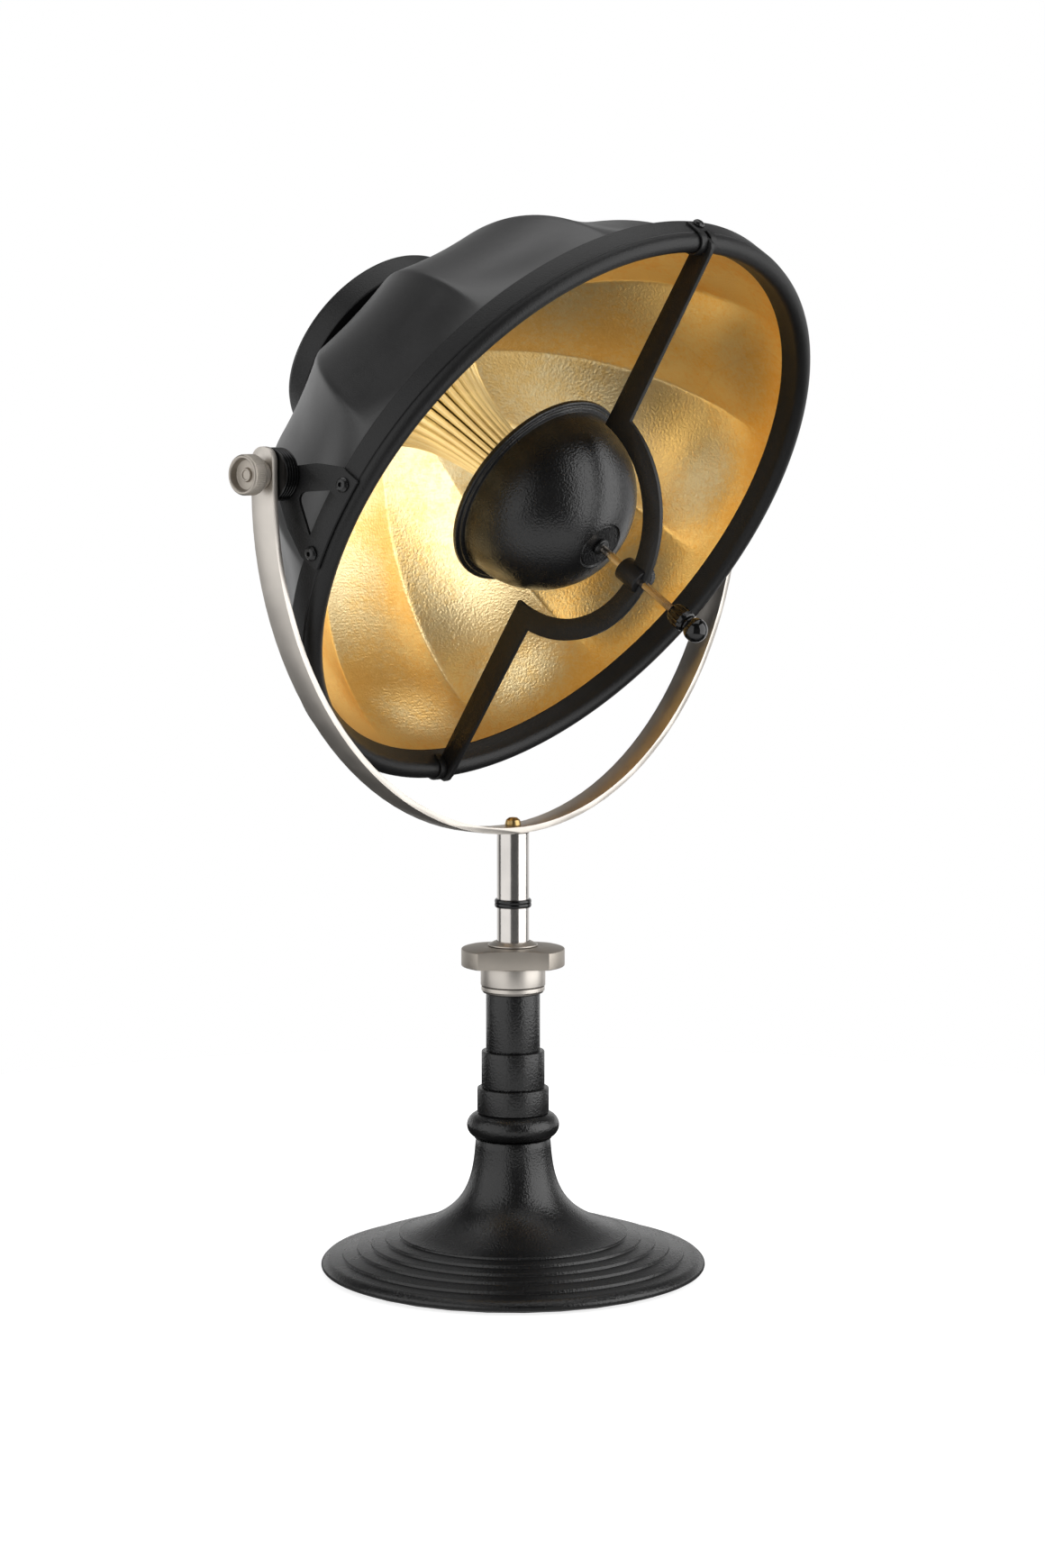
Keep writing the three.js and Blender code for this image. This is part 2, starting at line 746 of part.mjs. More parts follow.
function bowlRing(s, inset) {
  const points = [];
  const half = THREE.MathUtils.degToRad(lobeAngle / 2);
  for (let k = 0; k < rimFacets; k++) {
    const share = (k % facetsPerLobe) / facetsPerLobe;
    const fromMiddle = half * (2 * share - 1);
    const chord = 1 - Math.cos(half) / Math.cos(fromMiddle);
    const radius = ribRadius(s, inset) * (1 - panelDraw(s) * chord);
    const angle = THREE.MathUtils.degToRad(lobePhase + (360 * k) / rimFacets);
    points.push(new THREE.Vector3(radius * Math.cos(angle), radius * Math.sin(angle), s));
  }
  return points;
}

// Rings closer together towards the throat, where the bowl turns in fastest
function ringPlace(i, count) {
  const turn = (Math.PI / 2) * (i / (count - 1));
  return bowlFront + (bowlBack - bowlFront) * Math.sin(turn);
}
const bowlOutside = [];
const bowlInside = [];
for (let i = 0; i < bowlRings; i++) {
  bowlOutside.push(bowlRing(ringPlace(i, bowlRings), 0));
  bowlInside.push(bowlRing(ringPlace(i, bowlRings), bowlWall));
}
add(shade, "shade_bowl", skin([...bowlOutside, ...bowlInside.reverse()]), goldLeaf);

// Rim: a rolled channel closed over the bowl's edge, with a flat band and a round front bead

const rimBore = bowlRadius + rimSeat;
const rimBack = bowlFront - rimOverlap;
const rimFrontOfBand = rimBack + bandWidth;
const rollCentre = rimFrontOfBand + rollLead;
const rollCentreRadius = rimRadius - rollStep - rollRadius;
const screwForward = rimFrontOfBand - screwSetback;
const rollEndRadius = rollCentreRadius - rollRadius;
const rollInner = rollRadius - rimWall;
const slotWidth = 2 * rimWall; // open joint at the back of the rolled channel
const rimTurns = lobePhase; // puts the rim's corners on the bowl's
const rimSection = [
  [rimBore + rimWall + slotWidth, rimBack],
  [rimRadius, rimBack],
  [rimRadius, rimFrontOfBand],
  [rimRadius - rimGroove, rimFrontOfBand + rimGroove],
  ...arc(rollCentreRadius, rollCentre, rollRadius, 0, halfTurn, 5),
  [bowlRadius - bowlWall, bowlFront + rimSeat],
  [rimBore, bowlFront + rimSeat],
  [rimBore, rimBack],
  [rimBore + rimWall, rimBack],
  [rimBore + rimWall, bowlFront + rimSeat + rimWall],
  ...arc(rollCentreRadius, rollCentre, rollInner, halfTurn, 0, 3),
  [rimRadius - rimWall, rimFrontOfBand],
  [rimRadius - rimWall, rimBack + rimWall],
  [rimBore + rimWall + slotWidth, rimBack + rimWall],
];

// A radial cut or shaft at an angle round the shade, along its radius
function radial(solid, angle, s) {
  return placed(solid, [0, 0, s], [0, quarterTurn, 0]).rotate([0, 0, angle]);
}
const bracketScrewAngle = THREE.MathUtils.radToDeg(Math.asin(bracketScrewHeight / rimRadius));
const bracketScrewAngles = [
  bracketScrewAngle,
  -bracketScrewAngle,
  halfTurn - bracketScrewAngle,
  halfTurn + bracketScrewAngle,
];
const clipScrewAngles = [quarterTurn, -quarterTurn];
const screwBore = shaft(screwShank + screwClearance, rimBore, rimRadius + overrun, screwFacets);
let rim = revolve(rimSection, rimFacets).rotate([0, 0, rimTurns]);
const bandOnly = shaft(screwShank + screwClearance, rollCentreRadius, rimRadius + overrun, screwFacets);
for (const angle of bracketScrewAngles) rim = rim.subtract(radial(bandOnly, angle, screwForward));
for (const angle of clipScrewAngles) rim = rim.subtract(radial(bandOnly, angle, screwForward));
add(shade, "rim_ring", rim, blackCoat);

// Brackets: curved plates with a three-cornered window, screwed to the rim's band

const bracketInner = rimRadius + gap;
const bracketBack = bushRadius + bracketBackMargin;
const bracketFront = rimFrontOfBand + bracketLip;
const windowBack = bracketBack + windowInset;
const windowFront = rimBack + gap;
const bracketOuter = bracketInner + bracketWall;
const bracketSheet = tube(
  bracketOuter,
  bracketInner,
  -bracketBack - overrun,
  bracketFront + overrun,
  rimFacets,
).rotate([0, 0, rimTurns]);
const bracketOutline = [
  ...arc(0, 0, bracketBack, halfTurn - bracketBackSpread, halfTurn + bracketBackSpread, 6),
  [bracketFront - bracketEdgeDepth, -bracketHalfHeight],
  [bracketFront - windowRound, -bracketHalfHeight],
  [bracketFront, -bracketHalfHeight + windowRound],
  [bracketFront, bracketHalfHeight - windowRound],
  [bracketFront - windowRound, bracketHalfHeight],
  [bracketFront - bracketEdgeDepth, bracketHalfHeight],
];
const windowTip = windowBack + windowRound;
const windowOutline = [
  ...arc(windowTip, 0, windowRound, halfTurn - windowTipSpread, halfTurn + windowTipSpread, 4),
  [windowFront - windowRound, -windowHalfHeight],
  [windowFront, -windowHalfHeight + windowRound],
  [windowFront, windowHalfHeight - windowRound],
  [windowFront - windowRound, windowHalfHeight],
];

// Turns an outline drawn as [s, height] into a cutter that runs along X on one side
function sideways(outline, side) {
  const cutter = prism(outline, 0, bracketOuter + overrun);
  const left = cutter.rotate([0, -quarterTurn, 0]);
  return side < 0 ? left : left.mirror([1, 0, 0]);
}

const headFace = bracketInner - studSink;
const bushInner = bracketOuter + gap;
const bushOuter = yokeInner - 2 * gap;
const knobBack = yokeRadius + knobNeckLength;
const knobFace = knobBack + knobLength;
const studReach = knobFace - studEnd;
for (const [side, word] of [[-1, "left"], [1, "right"]]) {
  const studHole = placed(
    shaft(studRadius + screwClearance, 0, bracketOuter + overrun, smallFacets),
    [0, 0, 0],
    [0, side * quarterTurn, 0],
  );
  let bracket = bracketSheet.intersect(sideways(bracketOutline, side));
  bracket = bracket.subtract(sideways(windowOutline, side)).subtract(studHole);
  const screws = bracketScrewAngles.filter((a) => Math.sign(Math.cos((a * Math.PI) / 180)) === side);
  for (const angle of screws) bracket = bracket.subtract(radial(screwBore, angle, screwForward));
  add(shade, word + "_bracket", bracket, blackCoat);

  // Stud, fixed in the bracket and passing out through the bush, the strap and the knob
  const stud = revolve(
    [
      [0, headFace - studHeadHeight],
      [studHeadRadius, headFace - studHeadHeight],
      [studHeadRadius, headFace],
      [studRadius, headFace],
      [studRadius, studReach],
      [0, studReach],
    ],
    smallFacets,
  );
  add(shade, word + "_stud", placed(stud, [0, 0, 0], [0, side * quarterTurn, 0]), plainSteel);

  // Friction bush: a stack of discs, turned as one piece
  const bushSection = [[studRadius + screwClearance, bushInner]];
  const discPitch = (bushOuter - bushInner) / bushDiscs;
  for (let i = 0; i < bushDiscs; i++) {
    const from = bushInner + i * discPitch + (i ? bushGrooveWidth / 2 : 0);
    const to = bushInner + (i + 1) * discPitch - (i < bushDiscs - 1 ? bushGrooveWidth / 2 : 0);
    if (i) bushSection.push([bushRadius - bushGrooveDepth, from]);
    bushSection.push([bushRadius, from], [bushRadius, to]);
    if (i < bushDiscs - 1) bushSection.push([bushRadius - bushGrooveDepth, to]);
  }
  bushSection.push([studRadius + screwClearance, bushOuter]);
  const bush = revolve(bushSection, smallFacets);
  add(shade, word + "_friction_bush", placed(bush, [0, 0, 0], [0, side * quarterTurn, 0]), blackRubber);

  // Thumb knob: a neck against the strap and a toothed head with a turned recess
  const neck = shaft(knobNeckRadius, yokeRadius + gap, knobBack + gap, smallFacets);
  const head = prism(toothed(knobRadius, knobToothDepth, knobTeeth), knobBack, knobFace);
  const recessFloor = knobFace - knobRecessDepth;
  const recess = tube(knobRecessRadius, studRadius, recessFloor, knobFace + overrun, smallFacets);
  const knobBore = shaft(studRadius + screwClearance, yokeRadius, studReach + gap, smallFacets);
  const knob = neck.add(head).subtract(recess).subtract(knobBore);
  const knobPlaced = placed(knob, [0, 0, 0], [0, side * quarterTurn, 0]);
  add(lamp, word + "_knob", knobPlaced.translate([0, 0, pivotHeight]), satinNickel);
}

// A dome-headed screw pointing inwards, its head seated at the given radius
function domeScrew(seatRadiusHere) {
  const shoulder = seatRadiusHere + screwHeadHeight * headShoulderHeightShare;
  return revolve(
    [
      [0, seatRadiusHere - screwLength],
      [screwShank, seatRadiusHere - screwLength],
      [screwShank, seatRadiusHere],
      [screwHeadRadius, seatRadiusHere],
      [screwHeadRadius * headShoulderRadiusShare, shoulder],
      [0, seatRadiusHere + screwHeadHeight],
    ],
    screwFacets,
  );
}
const bracketScrewNames = ["right_upper", "right_lower", "left_upper", "left_lower"];
bracketScrewNames.forEach((word, i) => {
  const screw = radial(domeScrew(bracketOuter + gap), bracketScrewAngles[i], screwForward);
  add(shade, word + "_bracket_screw", screw, blackCoat);
});

// Rear housing: throat plate, neck ring and drum, all held by one threaded nipple

const plateFront = bowlBack - gap;
const plateBack = plateFront - throatPlate;
const neckBack = plateBack - gap - neckRingLength;
const drumFront = neckBack - gap;
const drumBack = drumFront - drumLength;
const nippleFit = nippleRadius + gap;
const neckRingRadius = throatRadius - neckRingInset;
const drumRadius = throatRadius + drumStandOut;
const capMiddle = bowlFront - capRecess;
const bulbMiddle = capMiddle + bulbLead;
const holderFront = bulbMiddle - bulbReach;
const holderBack = holderFront - holderLength;
add(shade, "throat_plate", tube(throatRadius, nippleFit, plateBack, plateFront, columnFacets), blackCoat);
add(
  shade,
  "neck_ring",
  tube(neckRingRadius, neckRingRadius - neckRingWall, neckBack, plateBack - gap, columnFacets),
  blackCoat,
);
add(
  shade,
  "rear_drum",
  revolve(
    [
      [nippleFit, drumBack],
      [drumRadius - drumRound, drumBack],
      [drumRadius, drumBack + drumRound],
      [drumRadius, drumFront],
      [neckRingRadius - neckRingWall, drumFront],
      [neckRingRadius - neckRingWall, drumFront - drumWall],
      [drumRadius - drumWall, drumFront - drumWall],
      [drumRadius - drumWall, drumBack + drumRound],
      [drumRadius - drumRound, drumBack + drumWall],
      [nippleFit, drumBack + drumWall],
    ],
    columnFacets,
  ),
  blackCoat,
);
const nippleBack = drumBack - rearNutHeight;
add(
  shade,
  "holder_nipple",
  tube(nippleRadius, nippleBore, nippleBack, holderBack - gap, smallFacets),
  plainSteel,
);
const rearNut = prism(hexagon(rearNutRadius), drumBack - gap - rearNutHeight, drumBack - gap);
const rearNutBore = shaft(nippleFit, drumBack - overrun - rearNutHeight, drumBack + overrun, smallFacets);
add(shade, "rear_nut", rearNut.subtract(rearNutBore), plainSteel);
const glandFront = drumBack - 2 * gap - rearNutHeight;
add(
  shade,
  "cable_gland",
  revolve(
    [
      [glandBore, glandFront - glandLength],
      [glandEndRadius, glandFront - glandLength],
      [glandRadius, glandFront - glandLength + glandTaper],
      [glandRadius, glandFront],
      [glandBore, glandFront],
    ],
    smallFacets,
  ),
  blackRubber,
);

// Lamp holder and bulb on the axis

add(
  shade,
  "lamp_holder",
  revolve(
    [
      [0, holderBack],
      [holderRadius, holderBack],
      [holderRadius, holderFront],
      [holderBore, holderFront],
      [holderBore, holderFront - holderSocketDepth],
      [0, holderFront - holderSocketDepth],
    ],
    smallFacets,
  ),
  plainSteel,
);
const bulbBaseBack = holderFront - holderSocketDepth + gap;
const bulbBaseFront = holderFront + gap;
add(
  shade,
  "bulb_base",
  revolve(
    [
      [0, bulbBaseBack],
      [bulbBaseRadius, bulbBaseBack + gap],
      [bulbBaseRadius, bulbBaseFront],
      [0, bulbBaseFront],
    ],
    smallFacets,
  ),
  brightNickel,
);
const neckAngle = -THREE.MathUtils.radToDeg(Math.acos(bulbNeckRadius / bulbRadius));
add(
  shade,
  "bulb_glass",
  revolve(
    [
      [0, bulbBaseFront + gap],
      [bulbBaseRadius, bulbBaseFront + gap],
      ...arc(0, bulbMiddle, bulbRadius, neckAngle, quarterTurn, 6),
    ],
    smallFacets,
  ),
  whiteGlass,
);

// Horn: a fluted trumpet that hides the holder and flares onto the throat

const hornBack = bowlBack;
const hornFront = holderFront + hornLead;
const hornSkirtRadius = throatRadius - hornSkirtInset;
const hornSwellAt = (s) => hornSwell * Math.exp((hornFront - hornWaist - s) / hornGrowth);
const hornRadius = (s) => Math.min(hornSkirtRadius, hornCoreRadius + hornSwellAt(s));
const hornPoints = fluteCount * pointsPerFlute;
function hornRing(s, inset) {
  const points = [];
  for (let k = 0; k < hornPoints; k++) {
    const angle = (2 * Math.PI * k) / hornPoints;
    const crest = (1 + Math.cos(fluteCount * angle)) / 2;
    const radius = hornRadius(s) * (1 - fluteDepthShare * (1 - crest)) - inset;
    points.push(new THREE.Vector3(radius * Math.cos(angle), radius * Math.sin(angle), s));
  }
  return points;
}
const hornOutside = [];
const hornInside = [];
for (let i = 0; i < hornRings; i++) {
  const share = i / (hornRings - 1);
  const s = hornFront + (hornBack - hornFront) * Math.sin((Math.PI / 2) * share);
  hornOutside.push(hornRing(s, 0));
  hornInside.push(hornRing(s, hornWall));
}
add(shade, "horn", skin([...hornOutside, ...hornInside.reverse()]), champagne);

// Bridge: a flat bar on edge across the rim, bowed forward round the cap, with the rod's boss

const barBack = rollCentre - barSetback;
const barFront = barBack + barWidth;
const barReach = rimRadius - barEndInset;
const arcInnerRadius = capRadius + arcRoom;
const arcOuterRadius = arcInnerRadius + arcWidth;
const outerStart = THREE.MathUtils.radToDeg(Math.asin(barWidth / arcOuterRadius));
const bowHalf = quarterTurn - outerStart;
const barOutline = [
  [barBack, -barReach],
  ...arc(barFront - barEndRound, barEndRound - barReach, barEndRound, -quarterTurn, 0, 3),
  ...arc(barBack, 0, arcOuterRadius, -bowHalf, bowHalf, 20),
  ...arc(barFront - barEndRound, barReach - barEndRound, barEndRound, 0, quarterTurn, 3),
  [barBack, barReach],
  ...arc(barBack, 0, arcInnerRadius, quarterTurn, -quarterTurn, 18),
];
const flatBar = prism(barOutline, -barThickness / 2, barThickness / 2);
const barBlank = placed(flatBar, [0, 0, 0], [0, -quarterTurn, 0]);
const rollRoom = revolve(
  [
    [rollCentreRadius + rollRadius + overrun, rimBack],
    [rollCentreRadius + rollRadius + overrun, rollCentre],
    ...arc(rollCentreRadius, rollCentre, rollRadius + gap, 0, halfTurn, 5),
    [bowlRadius - bowlWall - gap, bowlFront],
    [bowlRadius - bowlWall - gap, rimBack],
  ],
  rimFacets,
).rotate([0, 0, rimTurns]);
const bossBack = barBack + arcInnerRadius - bossBite;
const bossFront = bossBack + bossLength;
const setKnobForward = bossFront - setKnobSetback;
const boss = shaft(bossRadius, bossBack, bossFront, smallFacets);
const bossHole = shaft(rodRadius + gap, bossBack - overrun, bossFront + overrun, smallFacets);
const setHole = placed(
  shaft(setScrewRadius + gap, 0, bossRadius + overrun, screwFacets),
  [0, 0, setKnobForward],
  [0, quarterTurn, 0],
);
const bridge = barBlank.subtract(rollRoom).add(boss).subtract(bossHole).subtract(setHole);
add(shade, "bridge", bridge, blackCoat);

// Clips: forked straps that wrap the rim on both sides of the bar's ends

const clipNear = rollRadius + gap;
const clipFar = clipNear + clipWall;
const clipTail = rollCentre - clipTuck;
const innerLean = (bowlWall + rollEndRadius - bowlRadius) / (rollCentre - bowlFront - rimSeat);
const clipTailRadius = rollEndRadius - clipTuck * innerLean - gap;
const bandInner = rimRadius + gap;
const clipSection = [
  [clipTailRadius - clipWall, clipTail],
  ...arc(rollCentreRadius, rollCentre, clipFar, halfTurn, 0, 5),
  [bandInner + clipWall, rimFrontOfBand],
  [bandInner + clipWall, rimFrontOfBand - clipBandReach],
  [bandInner, rimFrontOfBand - clipBandReach],
  [bandInner, rimFrontOfBand],
  ...arc(rollCentreRadius, rollCentre, clipNear, 0, halfTurn, 5),
  [clipTailRadius, clipTail],
];
const clipBand = revolve(clipSection, rimFacets).rotate([0, 0, rimTurns]);
const clipHalf = clipWidth / 2;
const forkHalf = barThickness / 2 + gap;
const clipReach = bandInner + clipWall + overrun;
const clipAhead = barFront + overrun;
const slot = (half, reach) => [[-half, 0], [half, 0], [half, reach], [-half, reach]];
const clipSlab = prism(slot(clipHalf, clipReach), rimBack, clipAhead);
const forkFront = prism(slot(forkHalf, clipReach), rimFrontOfBand, clipAhead);
const forkBack = prism(slot(forkHalf, rollCentreRadius), rimBack, clipAhead);
const forkSlot = forkFront.add(forkBack);
const clip = clipBand.intersect(clipSlab).subtract(forkSlot);
const clipNames = ["top", "bottom"];
clipNames.forEach((word, i) => {
  const hole = radial(screwBore, clipScrewAngles[i], screwForward);
  const turned = i ? clip.rotate([0, 0, halfTurn]) : clip;
  add(shade, word + "_clip", turned.subtract(hole), blackCoat);
  const screw = radial(domeScrew(bandInner + clipWall + gap), clipScrewAngles[i], screwForward);
  add(shade, word + "_clip_screw", screw, blackCoat);
});

// Cap: a spun dome with a rolled lip, on a rod that slides in the boss

const capInner = capRadius - capWall;
const seatAngle = THREE.MathUtils.radToDeg(Math.acos(capSeatRadius / capRadius));
const seatFace = capMiddle + Math.sqrt(capRadius ** 2 - capSeatRadius ** 2) - capSeatSink;
const capLipFront = capMiddle - capLipRecess;
const capLipBack = capLipFront - capLipWidth;
const capLipRadius = capRadius + capLipStandOut;
const rodBack = seatFace - rodTail;
const gripBack = bossFront + rodTravel;
const gripFront = gripBack + gripLength;
const rodFront = gripFront + rodGripReach;
add(
  shade,
  "cap_dome",
  revolve(
    [
      [rodRadius + gap, seatFace],
      [capSeatRadius, seatFace],
      ...arc(0, capMiddle, capRadius, seatAngle, 0, 6),
      [capRadius + capLipStep, capMiddle],
      [capRadius + capLipStep, capLipFront],
      [capLipRadius, capLipFront],
      [capLipRadius, capLipBack],
      [capInner, capLipBack],
      ...arc(0, capMiddle, capInner, 0, seatAngle, 5),
      [rodRadius + gap, seatFace - capWall],
    ],
    broadFacets,
  ),
  blackCoat,
);
add(
  shade,
  "cap_hub",
  tube(hubRadius, rodRadius + gap, seatFace + gap, seatFace + gap + hubLength, smallFacets),
  blackCoat,
);
const capNutFront = seatFace - capWall - gap;
const capNut = prism(hexagon(capNutRadius), capNutFront - capNutHeight, capNutFront);
const capNutBore = shaft(rodRadius + gap, rodBack - overrun, capNutFront + overrun, smallFacets);
add(shade, "cap_nut", capNut.subtract(capNutBore), plainSteel);
add(shade, "cap_rod", shaft(rodRadius, rodBack, rodFront, smallFacets), satinNickel);

// Grip and tip at the free end of the rod

const gripProfileShares = [[0.45, 0], [0.8, 0.12], [1, 0.45], [1, 0.75], [0.86, 1]];
const gripPoints = 2 * gripFlutes;
function gripRing(s, radiusAt) {
  const ring = [];
  for (let k = 0; k < gripPoints; k++) {
    const angle = (2 * Math.PI * k) / gripPoints;
    const r = radiusAt(k);
    ring.push(new THREE.Vector3(r * Math.cos(angle), r * Math.sin(angle), s));
  }
  return ring;
}
const gripFluted = (share) => (k) => gripRadius * share - (k % 2 ? gripFluteDepth : 0);
const gripBore = () => rodRadius + gap;
const gripRings = gripProfileShares.map(([radiusShare, lengthShare]) =>
  gripRing(gripBack + gripLength * lengthShare, gripFluted(radiusShare)),
);
gripRings.push(gripRing(gripFront, gripBore), gripRing(gripBack, gripBore));
add(shade, "rod_grip", skin(gripRings), blackCoat);

const tipBack = gripFront + gap;
const tipMiddle = gripFront + tipLead;
const tipStart = -THREE.MathUtils.radToDeg(Math.acos(tipNeckRadius / tipRadius));
add(
  shade,
  "rod_tip",
  revolve(
    [
      [rodRadius + gap, tipBack],
      [tipNeckRadius, tipBack],
      ...arc(0, tipMiddle, tipRadius, tipStart, quarterTurn, 6),
      [0, rodFront + gap],
      [rodRadius + gap, rodFront + gap],
    ],
    smallFacets,
  ),
  blackGloss,
);

// Set knob: its screw goes through the boss to the rod

const setKnobBack = bossRadius + setKnobRoom;
const setScrewInner = rodRadius + setScrewRoom;
const setHead = prism(
  toothed(setKnobRadius, setKnobToothDepth, setKnobTeeth),
  setKnobBack,
  setKnobBack + setKnobLength,
);
const setScrew = shaft(setScrewRadius, setScrewInner, setKnobBack + gap, screwFacets);
const setKnob = placed(setHead.add(setScrew), [0, 0, setKnobForward], [0, quarterTurn, 0]);
add(shade, "set_knob", setKnob, blackCoat);

export default lamp;
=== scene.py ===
from math import asin, atan2, cos, degrees, exp, floor, hypot, pi, radians, sin, sqrt, tan

import bpy
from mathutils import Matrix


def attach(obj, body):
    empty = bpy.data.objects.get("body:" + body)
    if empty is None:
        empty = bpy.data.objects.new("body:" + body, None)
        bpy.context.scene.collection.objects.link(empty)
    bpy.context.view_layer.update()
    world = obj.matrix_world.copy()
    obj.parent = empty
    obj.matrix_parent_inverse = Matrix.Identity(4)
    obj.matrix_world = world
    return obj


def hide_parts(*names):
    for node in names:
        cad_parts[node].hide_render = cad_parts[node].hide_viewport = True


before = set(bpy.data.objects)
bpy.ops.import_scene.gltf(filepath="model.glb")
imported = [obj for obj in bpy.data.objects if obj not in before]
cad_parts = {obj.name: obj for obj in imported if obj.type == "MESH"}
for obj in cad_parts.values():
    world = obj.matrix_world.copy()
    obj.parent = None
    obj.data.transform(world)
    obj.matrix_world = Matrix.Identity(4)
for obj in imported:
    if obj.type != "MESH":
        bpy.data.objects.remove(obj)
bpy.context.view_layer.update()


# Foot cover. One round black cover with its flared neck, spun and then turned on a lathe: a rounded
# edge, a bare margin, five low steps and a long hollow curve up to the bead.
def soften(corners, steps=4):
    """A line of [across, up] points in which each corner given a radius is rounded by it."""
    line = []
    for i, (x, z, *radius) in enumerate(corners):
        if not radius or i in (0, len(corners) - 1):
            line.append((x, z))
            continue
        (x0, z0), (x1, z1) = corners[i - 1][:2], corners[i + 1][:2]
        a = atan2(z0 - z, x0 - x)
        turn = (atan2(z1 - z, x1 - x) - a + pi) % (2 * pi) - pi
        half = abs(turn) / 2
        reach = min(radius[0] / max(abs(sin(half) / cos(half)), 1e-6), hypot(x0 - x, z0 - z) * 0.49)
        reach = min(reach, hypot(x1 - x, z1 - z) * 0.49)
        r = reach * abs(sin(half) / cos(half))
        middle = a + turn / 2
        cx, cz = x + r / sin(half) * cos(middle), z + r / sin(half) * sin(middle)
        start = atan2(z + reach * sin(a) - cz, x + reach * cos(a) - cx)
        end = atan2(z + reach * sin(a + turn) - cz, x + reach * cos(a + turn) - cx)
        sweep = (end - start + pi) % (2 * pi) - pi
        line += [
            (cx + r * cos(start + sweep * k / steps), cz + r * sin(start + sweep * k / steps))
            for k in range(steps + 1)
        ]
    return line


def draw(name, line, closed=False):
    """A wire through [across, up] points in millimetres, drawn in the XZ plane vertex by vertex."""
    bpy.ops.object.select_all(action="DESELECT")
    bpy.ops.mesh.primitive_plane_add(size=0.001)
    bpy.context.object.name = bpy.context.object.data.name = name
    bpy.ops.object.mode_set(mode="EDIT")
    bpy.ops.mesh.select_all(action="SELECT")
    bpy.ops.mesh.merge(type="CENTER")
    bpy.ops.transform.translate(value=(line[0][0] / 1000, 0, line[0][1] / 1000))
    for (x0, z0), (x1, z1) in zip(line, line[1:]):
        step = ((x1 - x0) / 1000, 0, (z1 - z0) / 1000)
        bpy.ops.mesh.extrude_vertices_move(TRANSFORM_OT_translate={"value": step})
    bpy.ops.mesh.select_all(action="SELECT")
    if closed:
        bpy.ops.mesh.remove_doubles(threshold=1e-6)
    return bpy.context.object


def turned(name, line, steps=128, closed=True, smooth=28):
    """A lathe-turned piece about Z from a section in millimetres, closed on itself or on the axis."""
    piece = draw(name, [*line, line[0]] if closed else line, closed)
    bpy.ops.mesh.spin(steps=steps, angle=2 * pi, center=(0, 0, 0), axis=(0, 0, 1))
    bpy.ops.mesh.select_all(action="SELECT")
    bpy.ops.mesh.remove_doubles(threshold=1e-6)
    bpy.ops.mesh.normals_make_consistent(inside=False)
    bpy.ops.object.mode_set(mode="OBJECT")
    bpy.ops.object.shade_smooth_by_angle(angle=radians(smooth))
    return piece


foot_steps = [(109.9, 11.7), (100.4, 15.4), (91.3, 18.4), (82.0, 21.4), (72.8, 24.5)]
NECK, FLARE, FLARE_START, FLARE_HEIGHT = 23.5, 49.3, 24.5, 15
foot_line = [(24.9, 86.3), (NECK, 86.3)]
for up in range(84, 26, -3):
    foot_line.append((NECK + FLARE * exp((FLARE_START - up) / FLARE_HEIGHT), up))
foot_line.append((74.4, 24.0, 1.2))
RISER = 1.9
for across, up in reversed(foot_steps):
    foot_line += [(across + 1.0, up - 0.05, 0.4), (across + 1.35, up - RISER, 0.35)]
foot_line += [(121.4, 8.6, 6), (124.9, 5.0, 4), (124.6, 2.4, 3), (121, 1.0, 1)]
foot_line += [(118.9, 1.0, 0.5), (118.9, 4.4), (70, 20), (33, 40), (21, 78), (14.5, 84.3), (14.5, 86.3)]
foot_cover = turned("foot_cover", soften(foot_line), 160)
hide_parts("base_cover")


# Black coat. A matt powder coat baked on the painted pieces, slightly leathery close up. All other
# finishes of the lamp but the leaf gold are made the same way, with their own colour, grain and gloss.
def socket(group, way, kind, name, value=None):
    """Adds a socket to a node group."""
    made = group.interface.new_socket(name=name, in_out=way, socket_type="NodeSocket" + kind)
    if value is not None:
        made.default_value = value


def grown(tree, *kinds):
    """New shader nodes of these kinds, in this order."""
    return [tree.nodes.new("ShaderNode" + kind) for kind in kinds]


def fill(node, values):
    """Sets the inputs of a node, found by name or by number."""
    for key, value in values.items():
        node.inputs[key].default_value = value


def join(tree, *pairs):
    """Links (node, output) to (node, input), pair by pair."""
    for (a, out), (b, into) in pairs:
        tree.links.new(a.outputs[out], b.inputs[into])


leather = bpy.data.node_groups.new("leathery_coat", "ShaderNodeTree")
socket(leather, "INPUT", "Float", "Grain per metre", 900)
socket(leather, "INPUT", "Float", "Depth", 0.5)
socket(leather, "OUTPUT", "Float", "Height")
socket(leather, "OUTPUT", "Float", "Haze")
inward, outward = leather.nodes.new("NodeGroupInput"), leather.nodes.new("NodeGroupOutput")
place, fine, broad, deep = grown(leather, "TexCoord", "TexNoise", "TexNoise", "Math")
fill(fine, {"Detail": 1})
fill(broad, {"Scale": 45})
deep.operation = "MULTIPLY"
join(
    leather,
    ((place, "Object"), (fine, "Vector")),
    ((place, "Object"), (broad, "Vector")),
    ((inward, "Grain per metre"), (fine, "Scale")),
    ((fine, "Fac"), (deep, 0)),
    ((inward, "Depth"), (deep, 1)),
    ((deep, 0), (outward, "Height")),
    ((broad, "Fac"), (outward, "Haze")),
)


